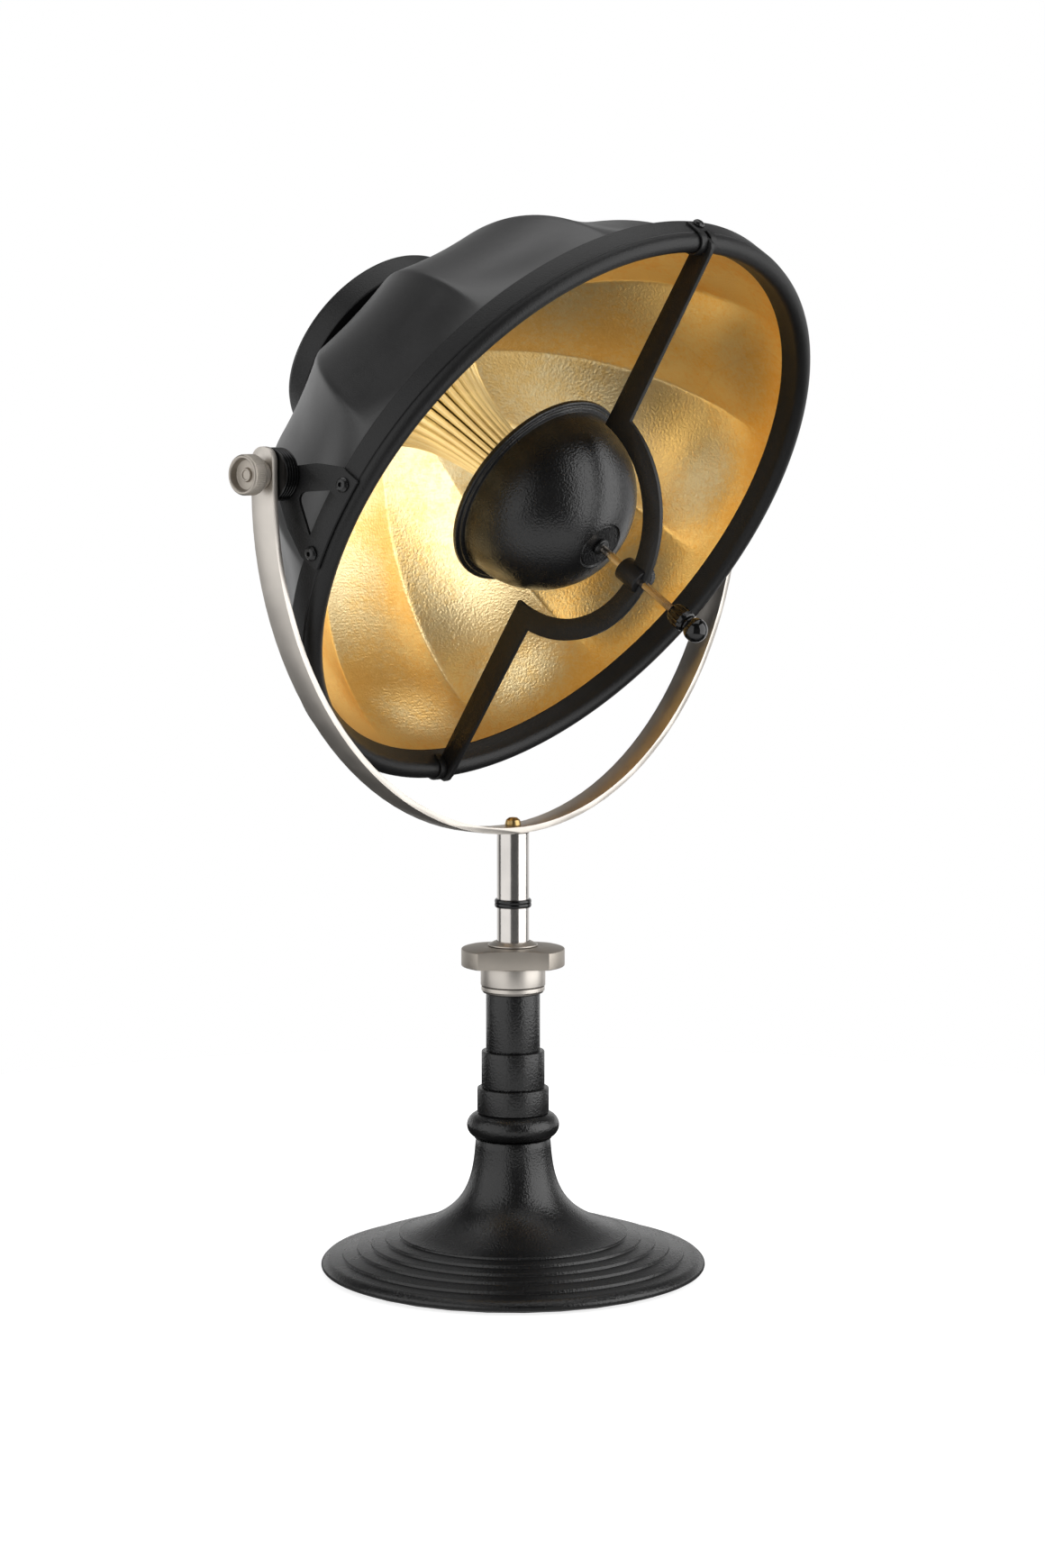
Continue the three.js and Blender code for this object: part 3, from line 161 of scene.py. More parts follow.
def surfaced(name, color, grain, depth, low, high, metal=0.0, specular=0.35, relief=0.0004):
    """A finish: colour, grains per metre, grain depth and the lowest and highest roughness."""
    material = bpy.data.materials.new(name)
    material.use_nodes = True
    tree = material.node_tree
    surface = tree.nodes["Principled BSDF"]
    coat, haze, bump, shade = grown(tree, "Group", "MapRange", "Bump", "Mix")
    coat.node_tree = leather
    shade.data_type = "RGBA"
    darker = (*[c * 0.82 for c in color], 1)
    lighter = (*[min(c * 1.18, 1) for c in color], 1)
    fill(surface, {"Metallic": metal, "Specular IOR Level": specular})
    fill(coat, {"Grain per metre": grain, "Depth": depth})
    fill(haze, {"To Min": low, "To Max": high})
    fill(bump, {"Distance": relief})
    fill(shade, {"A": darker, "B": lighter})
    join(
        tree,
        ((coat, "Height"), (bump, "Height")),
        ((coat, "Haze"), (haze, "Value")),
        ((coat, "Haze"), (shade, "Factor")),
        ((shade, 2), (surface, "Base Color")),
        ((haze, "Result"), (surface, "Roughness")),
        ((bump, "Normal"), (surface, "Normal")),
    )
    return material


def finish(piece, body, *materials):
    """Gives a finished piece its materials and the body that it moves with."""
    piece.data.materials.clear()
    for material in materials:
        piece.data.materials.append(material)
    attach(piece, body)


black_coat = surfaced(
    "black_coat", (0.0052, 0.0052, 0.0054), 780, 1.0, 0.25, 0.30, specular=0.55, relief=0.00028
)
finish(foot_cover, "base", black_coat)


# Weight, pad and nut under the foot. A cast ring gives the lamp its weight, a felt pad spares the
# table, and a steel nut draws the column down. Only the pad's edge ever shows.
def dressed(material, *nodes):
    """Gives CAD nodes that keep their shape a finish in place of their plain one."""
    for node in nodes:
        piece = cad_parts[node]
        piece.data.materials.clear()
        piece.data.materials.append(material)


cast_iron = surfaced("cast_iron", (0.05, 0.05, 0.052), 420, 1.0, 0.65, 0.85, metal=0.4, relief=0.0006)
dark_felt = surfaced("dark_felt", (0.022, 0.022, 0.023), 2600, 1.0, 0.9, 1.0, specular=0.1)
plain_steel = surfaced("plain_steel", (0.42, 0.42, 0.43), 1800, 0.3, 0.3, 0.42, metal=1.0, relief=0.0001)
black_rubber = surfaced(
    "black_rubber", (0.004, 0.004, 0.0042), 1500, 0.4, 0.14, 0.22, specular=0.5, relief=0.00005
)
dressed(cast_iron, "base_weight")
dressed(dark_felt, "base_pad")
dressed(plain_steel, "column_nut", "column_tube", "stem_plug")
dressed(black_rubber, "guide_bush", "stem_end_bush")


# Column. A round bead on the neck and three stepped sleeves, turned and painted black, then the
# lower nickel collar. They are stacked on the steel tube, each seated on the one below.
def arc(across, up, radius, start, end, step):
    """Points on a round, at angles in degrees counted from straight across."""
    angles = [radians(a) for a in range(start, end, step)]
    return [(across + radius * cos(a), up + radius * sin(a)) for a in angles]


bead_line = [(14.4, 86.7), (21.8, 86.6)]
bead_line += arc(21.8, 94.8, 8.15, -84, 85, 12)
bead_line += [(21.8, 102.9), (14.4, 102.9)]
column_pieces = {
    "column_bead": bead_line,
    "lower_sleeve": [(14.4, 103.3), (23.2, 103.3, 0.3), (23.2, 119.4, 0.9), (21.9, 119.5), (14.4, 119.5)],
    "middle_sleeve": [(14.4, 119.8), (20.45, 119.8, 0.3), (20.45, 143.4, 0.9), (19.2, 143.5), (14.4, 143.5)],
    "upper_sleeve": [(14.4, 143.8), (17.45, 143.8, 0.3), (17.45, 181.2, 0.7), (16.5, 181.3), (14.4, 181.3)],
}
for name, line in column_pieces.items():
    piece = turned(name + "_turned", soften(line), 96)
    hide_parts(name)
    finish(piece, "base", black_coat)
satin_nickel = surfaced("satin_nickel", (0.62, 0.58, 0.53), 2400, 0.5, 0.38, 0.46, metal=1.0, relief=0.00003)
collar_line = [(14.4, 181.6), (19.4, 181.6, 0.6), (20.0, 182.9, 0.2), (20.45, 183.2, 0.15)]
collar_line += [(20.45, 185.75, 0.3), (14.4, 185.8)]
lower_collar = turned("lower_collar_turned", soften(collar_line, 6), 96)
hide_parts("lower_collar")
finish(lower_collar, "base", satin_nickel)

# Swivel head. A nickel collar that turns on the column, and the broad clamp nut over it: a disc
# of matt nickel with two flats for the fingers and a low dome on top. A cone seat closes it.
swivel_line = [(12.1, 186.35), (20.9, 186.35, 0.5), (20.9, 198.7, 0.6), (12.1, 198.8)]
swivel_collar = turned("swivel_collar_turned", soften(swivel_line), 96)
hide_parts("swivel_collar")
finish(swivel_collar, "swivel", satin_nickel)


def only(piece):
    """Selects one piece alone and makes it active."""
    bpy.ops.object.select_all(action="DESELECT")
    piece.select_set(True)
    bpy.context.view_layer.objects.active = piece


def worked(piece, kind, **settings):
    """Adds a modifier and applies it."""
    only(piece)
    step = piece.modifiers.new(kind.lower(), kind)
    for key, value in settings.items():
        setattr(step, key, value)
    bpy.ops.object.modifier_apply(modifier=step.name)


def cut(piece, tool, way="DIFFERENCE"):
    """Cuts a piece with a tool, keeps only what both share, or joins them, and drops the tool."""
    worked(piece, "BOOLEAN", operation=way, object=tool, solver="EXACT")
    bpy.data.objects.remove(tool)


def eased(piece, width, segments=2, angle=30, smooth=32):
    """Takes the sharpness off the edges of a piece, as tumbling or filing does."""
    worked(
        piece,
        "BEVEL",
        width=width / 1000,
        segments=segments,
        limit_method="ANGLE",
        angle_limit=radians(angle),
        use_clamp_overlap=True,
    )
    bpy.ops.object.shade_smooth_by_angle(angle=radians(smooth))


def plate(name, outline, thickness):
    """A flat plate: an outline of [across, up] points, its thickness along Y, half to each side."""
    piece = draw(name, [*outline, outline[0]], True)
    bpy.ops.mesh.edge_face_add()
    bpy.ops.transform.translate(value=(0, -thickness / 2000, 0))
    bpy.ops.mesh.extrude_region_move(TRANSFORM_OT_translate={"value": (0, thickness / 1000, 0)})
    bpy.ops.mesh.select_all(action="SELECT")
    bpy.ops.mesh.normals_make_consistent(inside=False)
    bpy.ops.object.mode_set(mode="OBJECT")
    return piece


def placed(piece, turn=(0, 0, 0), move=(0, 0, 0)):
    """Turns (degrees) and moves (millimetres) a piece, and keeps its place in its mesh."""
    only(piece)
    piece.rotation_euler = [radians(a) for a in turn]
    piece.location = [m / 1000 for m in move]
    bpy.ops.object.transform_apply(location=True, rotation=True, scale=True)
    return piece


matt_nickel = surfaced("matt_nickel", (0.46, 0.42, 0.37), 2000, 0.7, 0.42, 0.52, metal=1.0, relief=0.0001)
nut_line = [(11.95, 199.15), (33.4, 199.15, 0.6), (33.4, 210.2, 0.8), (20, 211.7, 3), (11.95, 211.8)]
clamp_nut = turned("clamp_nut_turned", soften(nut_line), 128)
ACROSS_FLATS, NUT_TURN = 48.5, -48
flats = plate("flats", [(-40, 190), (40, 190), (40, 220), (-40, 220)], ACROSS_FLATS)
cut(clamp_nut, placed(flats, (0, 0, NUT_TURN)), "INTERSECT")
eased(clamp_nut, 0.45)
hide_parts("clamp_nut")
finish(clamp_nut, "clamp", matt_nickel)
seat_line = [(10.7, 212.15), (16.1, 212.15, 0.2), (16.1, 213.0, 0.3), (12.0, 214.85, 0.4), (10.7, 214.9)]
cone_seat = turned("cone_seat_turned", soften(seat_line), 96)
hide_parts("cone_seat")
finish(cone_seat, "swivel", satin_nickel)


# Stem. A polished nickel tube that slides in the head. Its top is sawn to the yoke's curve, whose
# centre lies just below the pivots, and a black rubber ring pushed onto it stops it at its lowest.
def bored(radius, x0, x1, sides=256):
    """A drill or milling cutter along X, from one place to another, in millimetres."""
    bpy.ops.object.select_all(action="DESELECT")
    bpy.ops.mesh.primitive_cylinder_add(
        vertices=sides,
        radius=radius / 1000,
        depth=(x1 - x0) / 1000,
        location=((x0 + x1) / 2000, 0, 0),
        rotation=(0, pi / 2, 0),
    )
    bpy.ops.object.transform_apply(location=True, rotation=True, scale=True)
    return bpy.context.object


PIVOT_HEIGHT = 518.05
YOKE_CENTRE = -9.45
YOKE_OUTER, YOKE_INNER = 223, 219
SAW_ROOM = 0.35
bright_nickel = surfaced(
    "bright_nickel", (0.62, 0.59, 0.56), 2600, 0.3, 0.15, 0.21, metal=1.0, relief=0.00004
)
stem_tube = turned("stem_tube_turned", [(9.2, 110), (10.35, 110), (10.35, 290), (9.2, 290)], 96)
saw = bored(YOKE_OUTER + SAW_ROOM, -15, 15)
cut(stem_tube, placed(saw, (0, 0, 90), (0, 0, PIVOT_HEIGHT + YOKE_CENTRE)))
bpy.context.view_layer.objects.active = stem_tube
bpy.ops.object.shade_smooth_by_angle(angle=radians(28))
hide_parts("stem_tube")
finish(stem_tube, "stem", bright_nickel)
ring_line = [(10.5, 237.1)]
ring_line += [(10.9 + 1.05 * cos(radians(a)), 238.6 + 1.6 * sin(radians(a))) for a in range(-80, 81, 20)]
ring_line += [(10.9 + 1.05 * cos(radians(a)), 240.9 + 1.6 * sin(radians(a))) for a in range(-50, 81, 20)]
ring_line += [(10.5, 242.4)]
stop_ring = turned("stem_stop_ring_moulded", ring_line, 96)
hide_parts("stem_stop_ring")
finish(stop_ring, "stem", black_rubber)

# Yoke. One flat nickel strap, 18 by 4 mm, bent to an arc and then straight up to rounded ends, and
# held on the stem by a single round-headed brass screw.
YOKE_TOP = 16.5
yoke_out = arc(0, YOKE_CENTRE, YOKE_OUTER, -180, 1, 3)
yoke_in = arc(0, YOKE_CENTRE, YOKE_INNER, 0, -181, -3)
yoke_line = [(-YOKE_OUTER, YOKE_TOP), *yoke_out, (YOKE_OUTER, YOKE_TOP)]
yoke_line += [(YOKE_INNER, YOKE_TOP), *yoke_in, (-YOKE_INNER, YOKE_TOP)]
yoke = plate("yoke_bent", yoke_line, 17.9)
ends = [(-8.95, -240), (8.95, -240)]
ends += arc(0, 7.55, 8.95, 0, 181, 9)
cut(yoke, placed(plate("rounded_ends", ends, 480), (0, 0, 90)), "INTERSECT")
cut(yoke, bored(4.4, -230, 230, 48))
eased(yoke, 0.45, angle=40, smooth=40)
placed(yoke, move=(0, 0, PIVOT_HEIGHT))
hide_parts("yoke")
finish(yoke, "stem", satin_nickel)
brass = surfaced("brass_screw", (0.52, 0.36, 0.15), 2200, 0.4, 0.24, 0.36, metal=1.0, relief=0.00006)
head_line = [(0, 272.9), (2.5, 272.9, 0.4), (2.5, 289.9), (5.15, 289.9, 0.3), (5.15, 291.2, 0.5)]
head_line += [(4.5, 293.6, 1.2), (2.6, 295.05, 1.5), (0, 295.25)]
yoke_screw = turned("yoke_screw_turned", soften(head_line), 48, closed=False)
slot_box = plate("slot", [(-6, 293.9), (6, 293.9), (6, 297), (-6, 297)], 1.0)
cut(yoke_screw, slot_box)
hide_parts("yoke_screw")
finish(yoke_screw, "stem", brass)


# Thumb knobs. Turned nickel with a finely toothed rim and a dished face, one at each end of the
# yoke. The end of the pivot stud shows in the middle of the dish.
def toothed(piece, inner, teeth, depth):
    """Presses fine teeth into the rim of a piece that was turned about Z."""
    for v in piece.data.vertices:
        r = hypot(v.co.x, v.co.y)
        if r > inner / 1000:
            bite = 1 - depth / 1000 / r * (0.5 - 0.5 * cos(teeth * atan2(v.co.y, v.co.x)))
            v.co.x *= bite
            v.co.y *= bite


knob_line = [(4.4, 223.4), (8.4, 223.4, 0.3), (8.4, 229.9), (11.6, 229.9, 0.5), (12.15, 230.6, 0.3)]
knob_line += [(12.15, 238.0, 0.3), (11.7, 239.0, 0.4), (11.1, 239.55, 0.3), (10.2, 239.55, 0.5)]
knob_line += [(9.6, 238.9, 0.3), (9.0, 234.9, 0.6), (4.2, 234.7, 0.4), (3.9, 236.6, 0.4)]
knob_line += [(2.9, 236.7, 0.4), (2.45, 235.4, 0.2), (2.0, 235), (2.0, 232), (4.4, 232)]
for side, word in ((-1, "left"), (1, "right")):
    knob = turned(word + "_knob_turned", soften(knob_line), 288, smooth=24)
    toothed(knob, 12.0, 72, 0.45)
    placed(knob, (0, side * 90, 0), (0, 0, PIVOT_HEIGHT))
    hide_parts(word + "_knob")
    finish(knob, word + "_hand_knob", matt_nickel)


# Friction bushes. A stack of five black rubber washers on each stud, pressed between the bracket
# and the strap, so that the shade stays where it is put.
LOOK_DOWN = 32.8


def aimed(piece, turn=(0, 0, 0)):
    """Puts a piece made about Z into the shade, whose axis looks forward and 32.8 degrees down."""
    placed(piece, turn)
    return placed(piece, (90 + LOOK_DOWN, 0, 0), (0, 0, PIVOT_HEIGHT))


bush_line = [(4.5, 207.7)]
for i in range(5):
    start = 207.7 + i * 2.12
    bush_line += [(14.2, start, 0.1), (15.95, start + 0.1, 0.5)]
    bush_line += [(15.95, start + 1.6, 0.5), (14.2, start + 1.7, 0.1)]
bush_line += [(4.5, 218.2)]
for side, word in ((-1, "left"), (1, "right")):
    bush = aimed(turned(word + "_friction_bush_turned", soften(bush_line, 3), 96), (0, side * 90, 0))
    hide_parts(word + "_friction_bush")
    finish(bush, "shade", black_rubber)
dressed(matt_nickel, "left_stud", "right_stud")


def face_out(obj, index):
    """Turns a skin's faces away from its axis, judged by one of them."""
    face = obj.data.polygons[index]
    if face.normal.x * face.center.x + face.normal.y * face.center.y < 0:
        only(obj)
        bpy.ops.object.mode_set(mode="EDIT")
        bpy.ops.mesh.select_all(action="SELECT")
        bpy.ops.mesh.flip_normals()
        bpy.ops.object.mode_set(mode="OBJECT")


def another(model, name):
    """A copy of a model, with a mesh of its own."""
    piece = model.copy()
    piece.data = model.data.copy()
    piece.name = piece.data.name = name
    bpy.context.collection.objects.link(piece)
    return piece


# Bowl. Steel sheet pressed into a deep dish with twelve ribs. Near the rim it is round, and
# behind it the panels draw in hollow between the ribs. Black outside, leaf gold inside.
RIB_FRONT, RIB_BACK = 43.4, -115.5
MOUTH, DEPTH = 191.2, 170
HALF_PANEL, CREST = 15, 0.9
rib_line = []
for i in range(49):
    along = RIB_FRONT + (RIB_BACK - RIB_FRONT) * sin(pi / 2 * i / 48)
    rib_line.append((MOUTH * sqrt(1 - ((RIB_FRONT - along) / DEPTH) ** 2), along))
bowl = turned("shade_bowl_pressed", rib_line, 288, closed=False)
for v in bowl.data.vertices:
    share = min(1, 3 * (RIB_FRONT - v.co.z * 1000) / (RIB_FRONT - RIB_BACK))
    draw_in = 1.6 * share * share * (3 - 2 * share)
    turn = (degrees(atan2(v.co.y, v.co.x)) - HALF_PANEL) / (2 * HALF_PANEL)
    panel = floor(turn + 1e-6)
    off = HALF_PANEL * sin(pi / 2 * (2 * (turn - panel) - 1))
    crest = max(0, abs(off) - HALF_PANEL + CREST) / CREST
    hollow = 1 - cos(radians(HALF_PANEL)) / cos(radians(off))
    rounding = tan(radians(HALF_PANEL)) * radians(CREST) * crest * crest / 2
    radius = hypot(v.co.x, v.co.y) * (1 - draw_in * (hollow + rounding))
    angle = radians(HALF_PANEL + 2 * HALF_PANEL * (panel + 0.5) + off)
    v.co.x, v.co.y = radius * cos(angle), radius * sin(angle)
face_out(bowl, 144)
sheet_black = surfaced(
    "sheet_black", (0.008, 0.008, 0.0082), 1500, 0.4, 0.34, 0.42, specular=0.8, relief=0.0002
)
bowl.data.materials.append(sheet_black)
leaf = bpy.data.materials.new("leaf_gold")
bowl.data.materials.append(leaf)
worked(bowl, "SOLIDIFY", thickness=0.0016, offset=-1, use_even_offset=True, material_offset=1, use_rim=True)
bpy.ops.object.shade_smooth_by_angle(angle=radians(50))
aimed(bowl)
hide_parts("shade_bowl")

# Leaf gold. Thin metal leaves laid one over the other and rubbed down: pale where they catch the
# light, deep amber between, with fine brush marks and the faint creases of the leaves.
leaf.use_nodes = True
tree = leaf.node_tree
surface = tree.nodes["Principled BSDF"]
place, stretch, crease, tone, worn = grown(tree, "TexCoord", "Mapping", "TexVoronoi", "ValToRGB", "Mix")
cloud, mottle, marks, crinkle = grown(tree, "TexNoise", "TexNoise", "TexNoise", "TexNoise")
edge, sheen, bump, bend = grown(tree, "MapRange", "MapRange", "Bump", "VectorMath")
add_up, add_marks, warp, relief = grown(tree, "Math", "Math", "Math", "Math")
fill(surface, {"Metallic": 1})
fill(stretch, {"Scale": (140, 700, 700)})
fill(cloud, {"Scale": 16, "Detail": 4})
fill(mottle, {"Scale": 210, "Detail": 6, "Roughness": 0.75, "Distortion": 0.2})
fill(marks, {"Scale": 1, "Detail": 4})
fill(crinkle, {"Scale": 620, "Detail": 3})
crease.feature = "DISTANCE_TO_EDGE"
fill(crease, {"Scale": 9})
fill(edge, {"From Max": 0.012, "To Min": 0.9})
add_up.operation = add_marks.operation = relief.operation = "MULTIPLY_ADD"
fill(add_up, {1: 0.6})
fill(add_marks, {1: 0.25})
fill(relief, {1: 0.6})
bend.operation = "ADD"
warp.operation = "MULTIPLY"
fill(warp, {1: 0.03})
worn.data_type = "RGBA"
fill(worn, {"A": (0.62, 0.36, 0.13, 1)})
fill(sheen, {"To Min": 0.44, "To Max": 0.30})
fill(bump, {"Distance": 0.00022})
amber, gold, pale = (0.90, 0.56, 0.18, 1), (0.98, 0.67, 0.26, 1), (1.0, 0.80, 0.44, 1)
ramp = tone.color_ramp.elements
ramp[0].position, ramp[0].color = 0.5, amber
ramp[1].position, ramp[1].color = 1.0, pale
ramp.new(0.80).color = gold
join(
    tree,
    ((place, "Object"), (cloud, "Vector")),
    ((place, "Object"), (mottle, "Vector")),
    ((place, "Object"), (stretch, "Vector")),
    ((stretch, "Vector"), (marks, "Vector")),
    ((cloud, "Fac"), (warp, 0)),
    ((place, "Object"), (bend, 0)),
    ((warp, 0), (bend, 1)),
    ((bend, "Vector"), (crease, "Vector")),
    ((crease, "Distance"), (edge, "Value")),
    ((mottle, "Fac"), (add_up, 0)),
    ((cloud, "Fac"), (add_up, 2)),
    ((marks, "Fac"), (add_marks, 0)),
    ((add_up, 0), (add_marks, 2)),
    ((add_marks, 0), (tone, "Fac")),
    ((tone, "Color"), (worn, "B")),
    ((edge, "Result"), (worn, "Factor")),
    ((worn, 2), (surface, "Base Color")),
    ((add_up, 0), (sheen, "Value")),
    ((sheen, "Result"), (surface, "Roughness")),
    ((place, "Object"), (crinkle, "Vector")),
    ((marks, "Fac"), (relief, 0)),
    ((crinkle, "Fac"), (relief, 2)),
    ((relief, 0), (bump, "Height")),
    ((bump, "Normal"), (surface, "Normal")),
)
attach(bowl, "shade")

# Rim. A black channel rolled from sheet round the bowl's edge: a flat band that the brackets are
# screwed to, a fine groove and a round bead in front. Its joint is open at the back.
BEAD_ACROSS, BEAD_ALONG = 198.4, 52.2
rim_line = [(196.2, 37.75), (204.95, 37.75, 0.9), (204.95, 50.9, 0.5), (204.2, 51.6, 0.3)]
rim_line = soften([*rim_line, (204.55, 52.2)], 5)[:-1]
rim_line += arc(BEAD_ACROSS, BEAD_ALONG, 6.15, 0, 181, 12)
rim_line += [(191.0, 48.4), (189.75, 43.85), (191.55, 43.85), (191.65, 37.75), (193.05, 37.75)]
rim_line += [(193.1, 45.2), (194.0, 51), (198.4, 56.7), (202.8, 51.5), (203.4, 39.3), (196.2, 39.3)]
soft_black = surfaced(
    "soft_black", (0.007, 0.007, 0.0072), 1100, 0.7, 0.40, 0.48, specular=0.35, relief=0.0003
)
rim = aimed(turned("rim_ring_rolled", rim_line, 256))
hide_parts("rim_ring")
finish(rim, "shade", soft_black)


# Brackets. Black plates curved to the rim, each with a three-cornered window, riveted round the
# pivot stud and held on the band by two socket-headed screws. Both lean down by a little.
def segment(name, line, angle, steps):
    """A short stretch of a turned ring, to both sides of +X, from a section in millimetres."""
    piece = draw(name, [*line, line[0]], True)
    bpy.ops.mesh.edge_face_add()
    bpy.ops.mesh.select_all(action="SELECT")
    bpy.ops.mesh.spin(steps=steps, angle=radians(angle), center=(0, 0, 0), axis=(0, 0, 1))
    bpy.ops.mesh.select_all(action="SELECT")
    bpy.ops.mesh.remove_doubles(threshold=1e-6)
    bpy.ops.mesh.normals_make_consistent(inside=False)
    bpy.ops.object.mode_set(mode="OBJECT")
    return placed(piece, (0, 0, angle / 2))


PIVOT_END = 10.5
pivot_end = [(PIVOT_END * sin(radians(a)), PIVOT_END * cos(radians(a))) for a in range(245, 114, -10)]
arm = [(11.9, 6.5, 4), (22.8, 20.0, 14), (31.8, 37.8, 1.2), (31.9, 51.6, 0.6), (30.7, 52.9, 0.6)]
window_line = [(-8.15, 27.8), (-16.3, 38.9, 0.5), (16.3, 38.9, 0.5), (0, 16.7, 7.5), (-8.15, 27.8)]
LEAN = 1.8
sheet_line = [(205.35, -20), (207.25, -20), (207.25, 56), (205.35, 56)]
for side, word in ((-1, "left"), (1, "right")):
    down = -side * LEAN
    upper = [(u + down, s, r) for u, s, r in arm]
    lower = [(down - u, s, r) for u, s, r in reversed(arm)]
    bracket = segment(word + "_bracket_cut", sheet_line, 22, 44)
    edge_tool = plate("bracket_edge", soften([*pivot_end, *upper, *lower]), 420)
    cut(bracket, placed(edge_tool, (0, 0, 90)), "INTERSECT")
    window = plate("window", [(u + down, s) for u, s in soften(window_line, 6)[1:-1]], 420)
    cut(bracket, placed(window, (0, 0, 90)))
    eased(bracket, 0.35, angle=50, smooth=40)
    aimed(bracket, (0, 0, 90 - side * 90))
    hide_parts(word + "_bracket")
    finish(bracket, "shade", soft_black)
button_line = [(0, -6), (1.6, -6), (1.6, 0), (3.9, 0, 0.2), (4.5, 0.3, 0.2), (4.5, 0.9, 0.4)]
button_line += [(3.2, 2.4, 1.4), (1.9, 2.6), (0, 2.6)]
screw_model = turned("socket_screw", soften(button_line), 32, closed=False)
hexagon = plate("hexagon_socket", arc(0, 0, 1.6, 0, 360, 60), 4)
cut(screw_model, placed(hexagon, (90, 0, 0), (0, 0, 3.1)))
bpy.context.view_layer.objects.active = screw_model
bpy.ops.object.shade_smooth_by_angle(angle=radians(30))
SCREW_OFF, BAND, SCREW_ALONG = 24.0, 205, 45.3
upper_angle = degrees(asin((SCREW_OFF - LEAN) / BAND))
lower_angle = degrees(asin((SCREW_OFF + LEAN) / BAND))
places = {
    "right_upper_bracket_screw": upper_angle,
    "right_lower_bracket_screw": -lower_angle,
    "left_upper_bracket_screw": 180 - upper_angle,
    "left_lower_bracket_screw": 180 + lower_angle,
}
for name, angle in places.items():
    screw = placed(another(screw_model, name + "_turned"), (0, 90, 0), (207.6, 0, SCREW_ALONG))
    aimed(screw, (0, 0, angle))
    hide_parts(name)
    finish(screw, "shade", black_coat)
bpy.data.objects.remove(screw_model)

# Rear housing. A plate closes the bowl's throat, and behind it a neck ring and a round spun drum
# hide the wiring. A threaded pipe, a nut and a rubber gland hold it all together at the back.
plate_line = [(5.3, -117.75), (67.4, -117.75, 0.8), (67.9, -115.85, 0.5), (5.3, -115.85)]
neck_line = [(59, -126.05), (64.9, -126.05, 0.8), (64.9, -118.15, 0.8), (59, -118.15)]
drum_line = [(5.3, -146.35), (67.6, -146.35, 4.2), (71.55, -142.2, 4.2), (71.55, -127.6, 0.6)]
drum_line += [(71.1, -126.5, 0.5), (59, -126.45), (59, -127.9), (69.8, -128), (69.8, -144.6), (5.3, -144.8)]
drum_line = [drum_line[0], (30, -146.35), (52, -146.35), *drum_line[1:]]
for name, line in (("throat_plate", plate_line), ("neck_ring", neck_line), ("rear_drum", drum_line)):
    piece = aimed(turned(name + "_spun", soften(line), 160))
    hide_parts(name)
    finish(piece, "shade", soft_black)
dressed(plain_steel, "holder_nipple", "rear_nut", "lamp_holder", "cap_nut")
dressed(black_rubber, "cable_gland")
dressed(bright_nickel, "bulb_base")

# Bulb. A blown globe of opal glass on a screwed metal base. It is almost hidden by the cap, and the
# lamp is not lit.
opal = surfaced("opal_glass", (0.86, 0.85, 0.81), 300, 0.1, 0.12, 0.2, specular=0.5, relief=0.00002)
bulb_line = [(0, 2.7), (6.8, 2.7), (7.6, 8), (9.3, 13.5), (11.5, 17.8)]
bulb_line += [*arc(0, 37, 22.4, -57, 90, 7), (0, 59.4)]
bulb = aimed(turned("bulb_glass_blown", bulb_line, 96, closed=False))
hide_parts("bulb_glass")
finish(bulb, "shade", opal)

# Horn. A trumpet of thin metal pleated into twenty-four rounded flutes, champagne coloured, which
# hides the lamp holder and widens on to the throat of the bowl.
FLUTES, FLUTE_STEPS = 24, 14
HORN_FRONT, HORN_BACK, HORN_WIDEST = 4, -115.4, 56.9
horn_line = []
for i in range(33):
    along = HORN_FRONT + (HORN_BACK - HORN_FRONT) * sin(pi / 2 * i / 32)
    horn_line.append((min(HORN_WIDEST, 13.4 + 6 * exp((-20 - along) / 45)), along))
horn = turned("horn_pleated", horn_line, FLUTES * FLUTE_STEPS, closed=False)
for v in horn.data.vertices:
    flute = (FLUTES * atan2(v.co.y, v.co.x) / (2 * pi)) % 1 * 2 - 1
    bite = 1 - 0.22 * (1 - sqrt(1 - 0.99 * flute * flute))
    v.co.x *= bite
    v.co.y *= bite
face_out(horn, 100)
worked(horn, "SOLIDIFY", thickness=0.0009, offset=-1, use_even_offset=False, use_rim=True)
bpy.ops.object.shade_smooth_by_angle(angle=radians(60))
aimed(horn)
champagne = surfaced("champagne", (0.90, 0.81, 0.66), 1400, 0.4, 0.16, 0.24, metal=1.0, relief=0.00004)
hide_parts("horn")
finish(horn, "shade", champagne)

# Bridge. A flat black bar set on edge across the rim, bowed forward round the cap, with a short
# boss welded into the middle of the bow for the rod.
BAR_ALONG, BOW_OUTER, BOW_INNER, BAR_THICK = 50, 80.2, 66.5, 3.0
half_line = [(204.0, 55.5), (204.0, 57.4, 1), (203.2, 61.0, 2), (200.7, 62.8, 2), (196.8, 63.4, 2)]
outer = soften([*half_line, *arc(0, BAR_ALONG, BOW_OUTER, 11, 90, 4)], 4)
inner = arc(0, BAR_ALONG, BOW_INNER, 90, -1, -5) + arc(BEAD_ACROSS, BEAD_ALONG, 6.45, 200, 29, -10)
bar_outline = [*outer, (0, BAR_ALONG + BOW_OUTER), *[(-x, z) for x, z in outer[::-1]]]
bar_outline += [(-x, z) for x, z in inner[::-1]] + inner[1:-1]
bridge = plate("bridge_bar", bar_outline, BAR_THICK)
boss_line = [(0, 110.1), (7.8, 110.1, 0.7), (7.8, 126.9, 0.9), (0, 126.9)]
boss = turned("boss", soften(boss_line), 64, closed=False)
cut(bridge, boss, "UNION")
bore = turned("bore", [(0, 100), (2.7, 100), (2.7, 140), (0, 140)], 32, closed=False)
cut(bridge, bore)
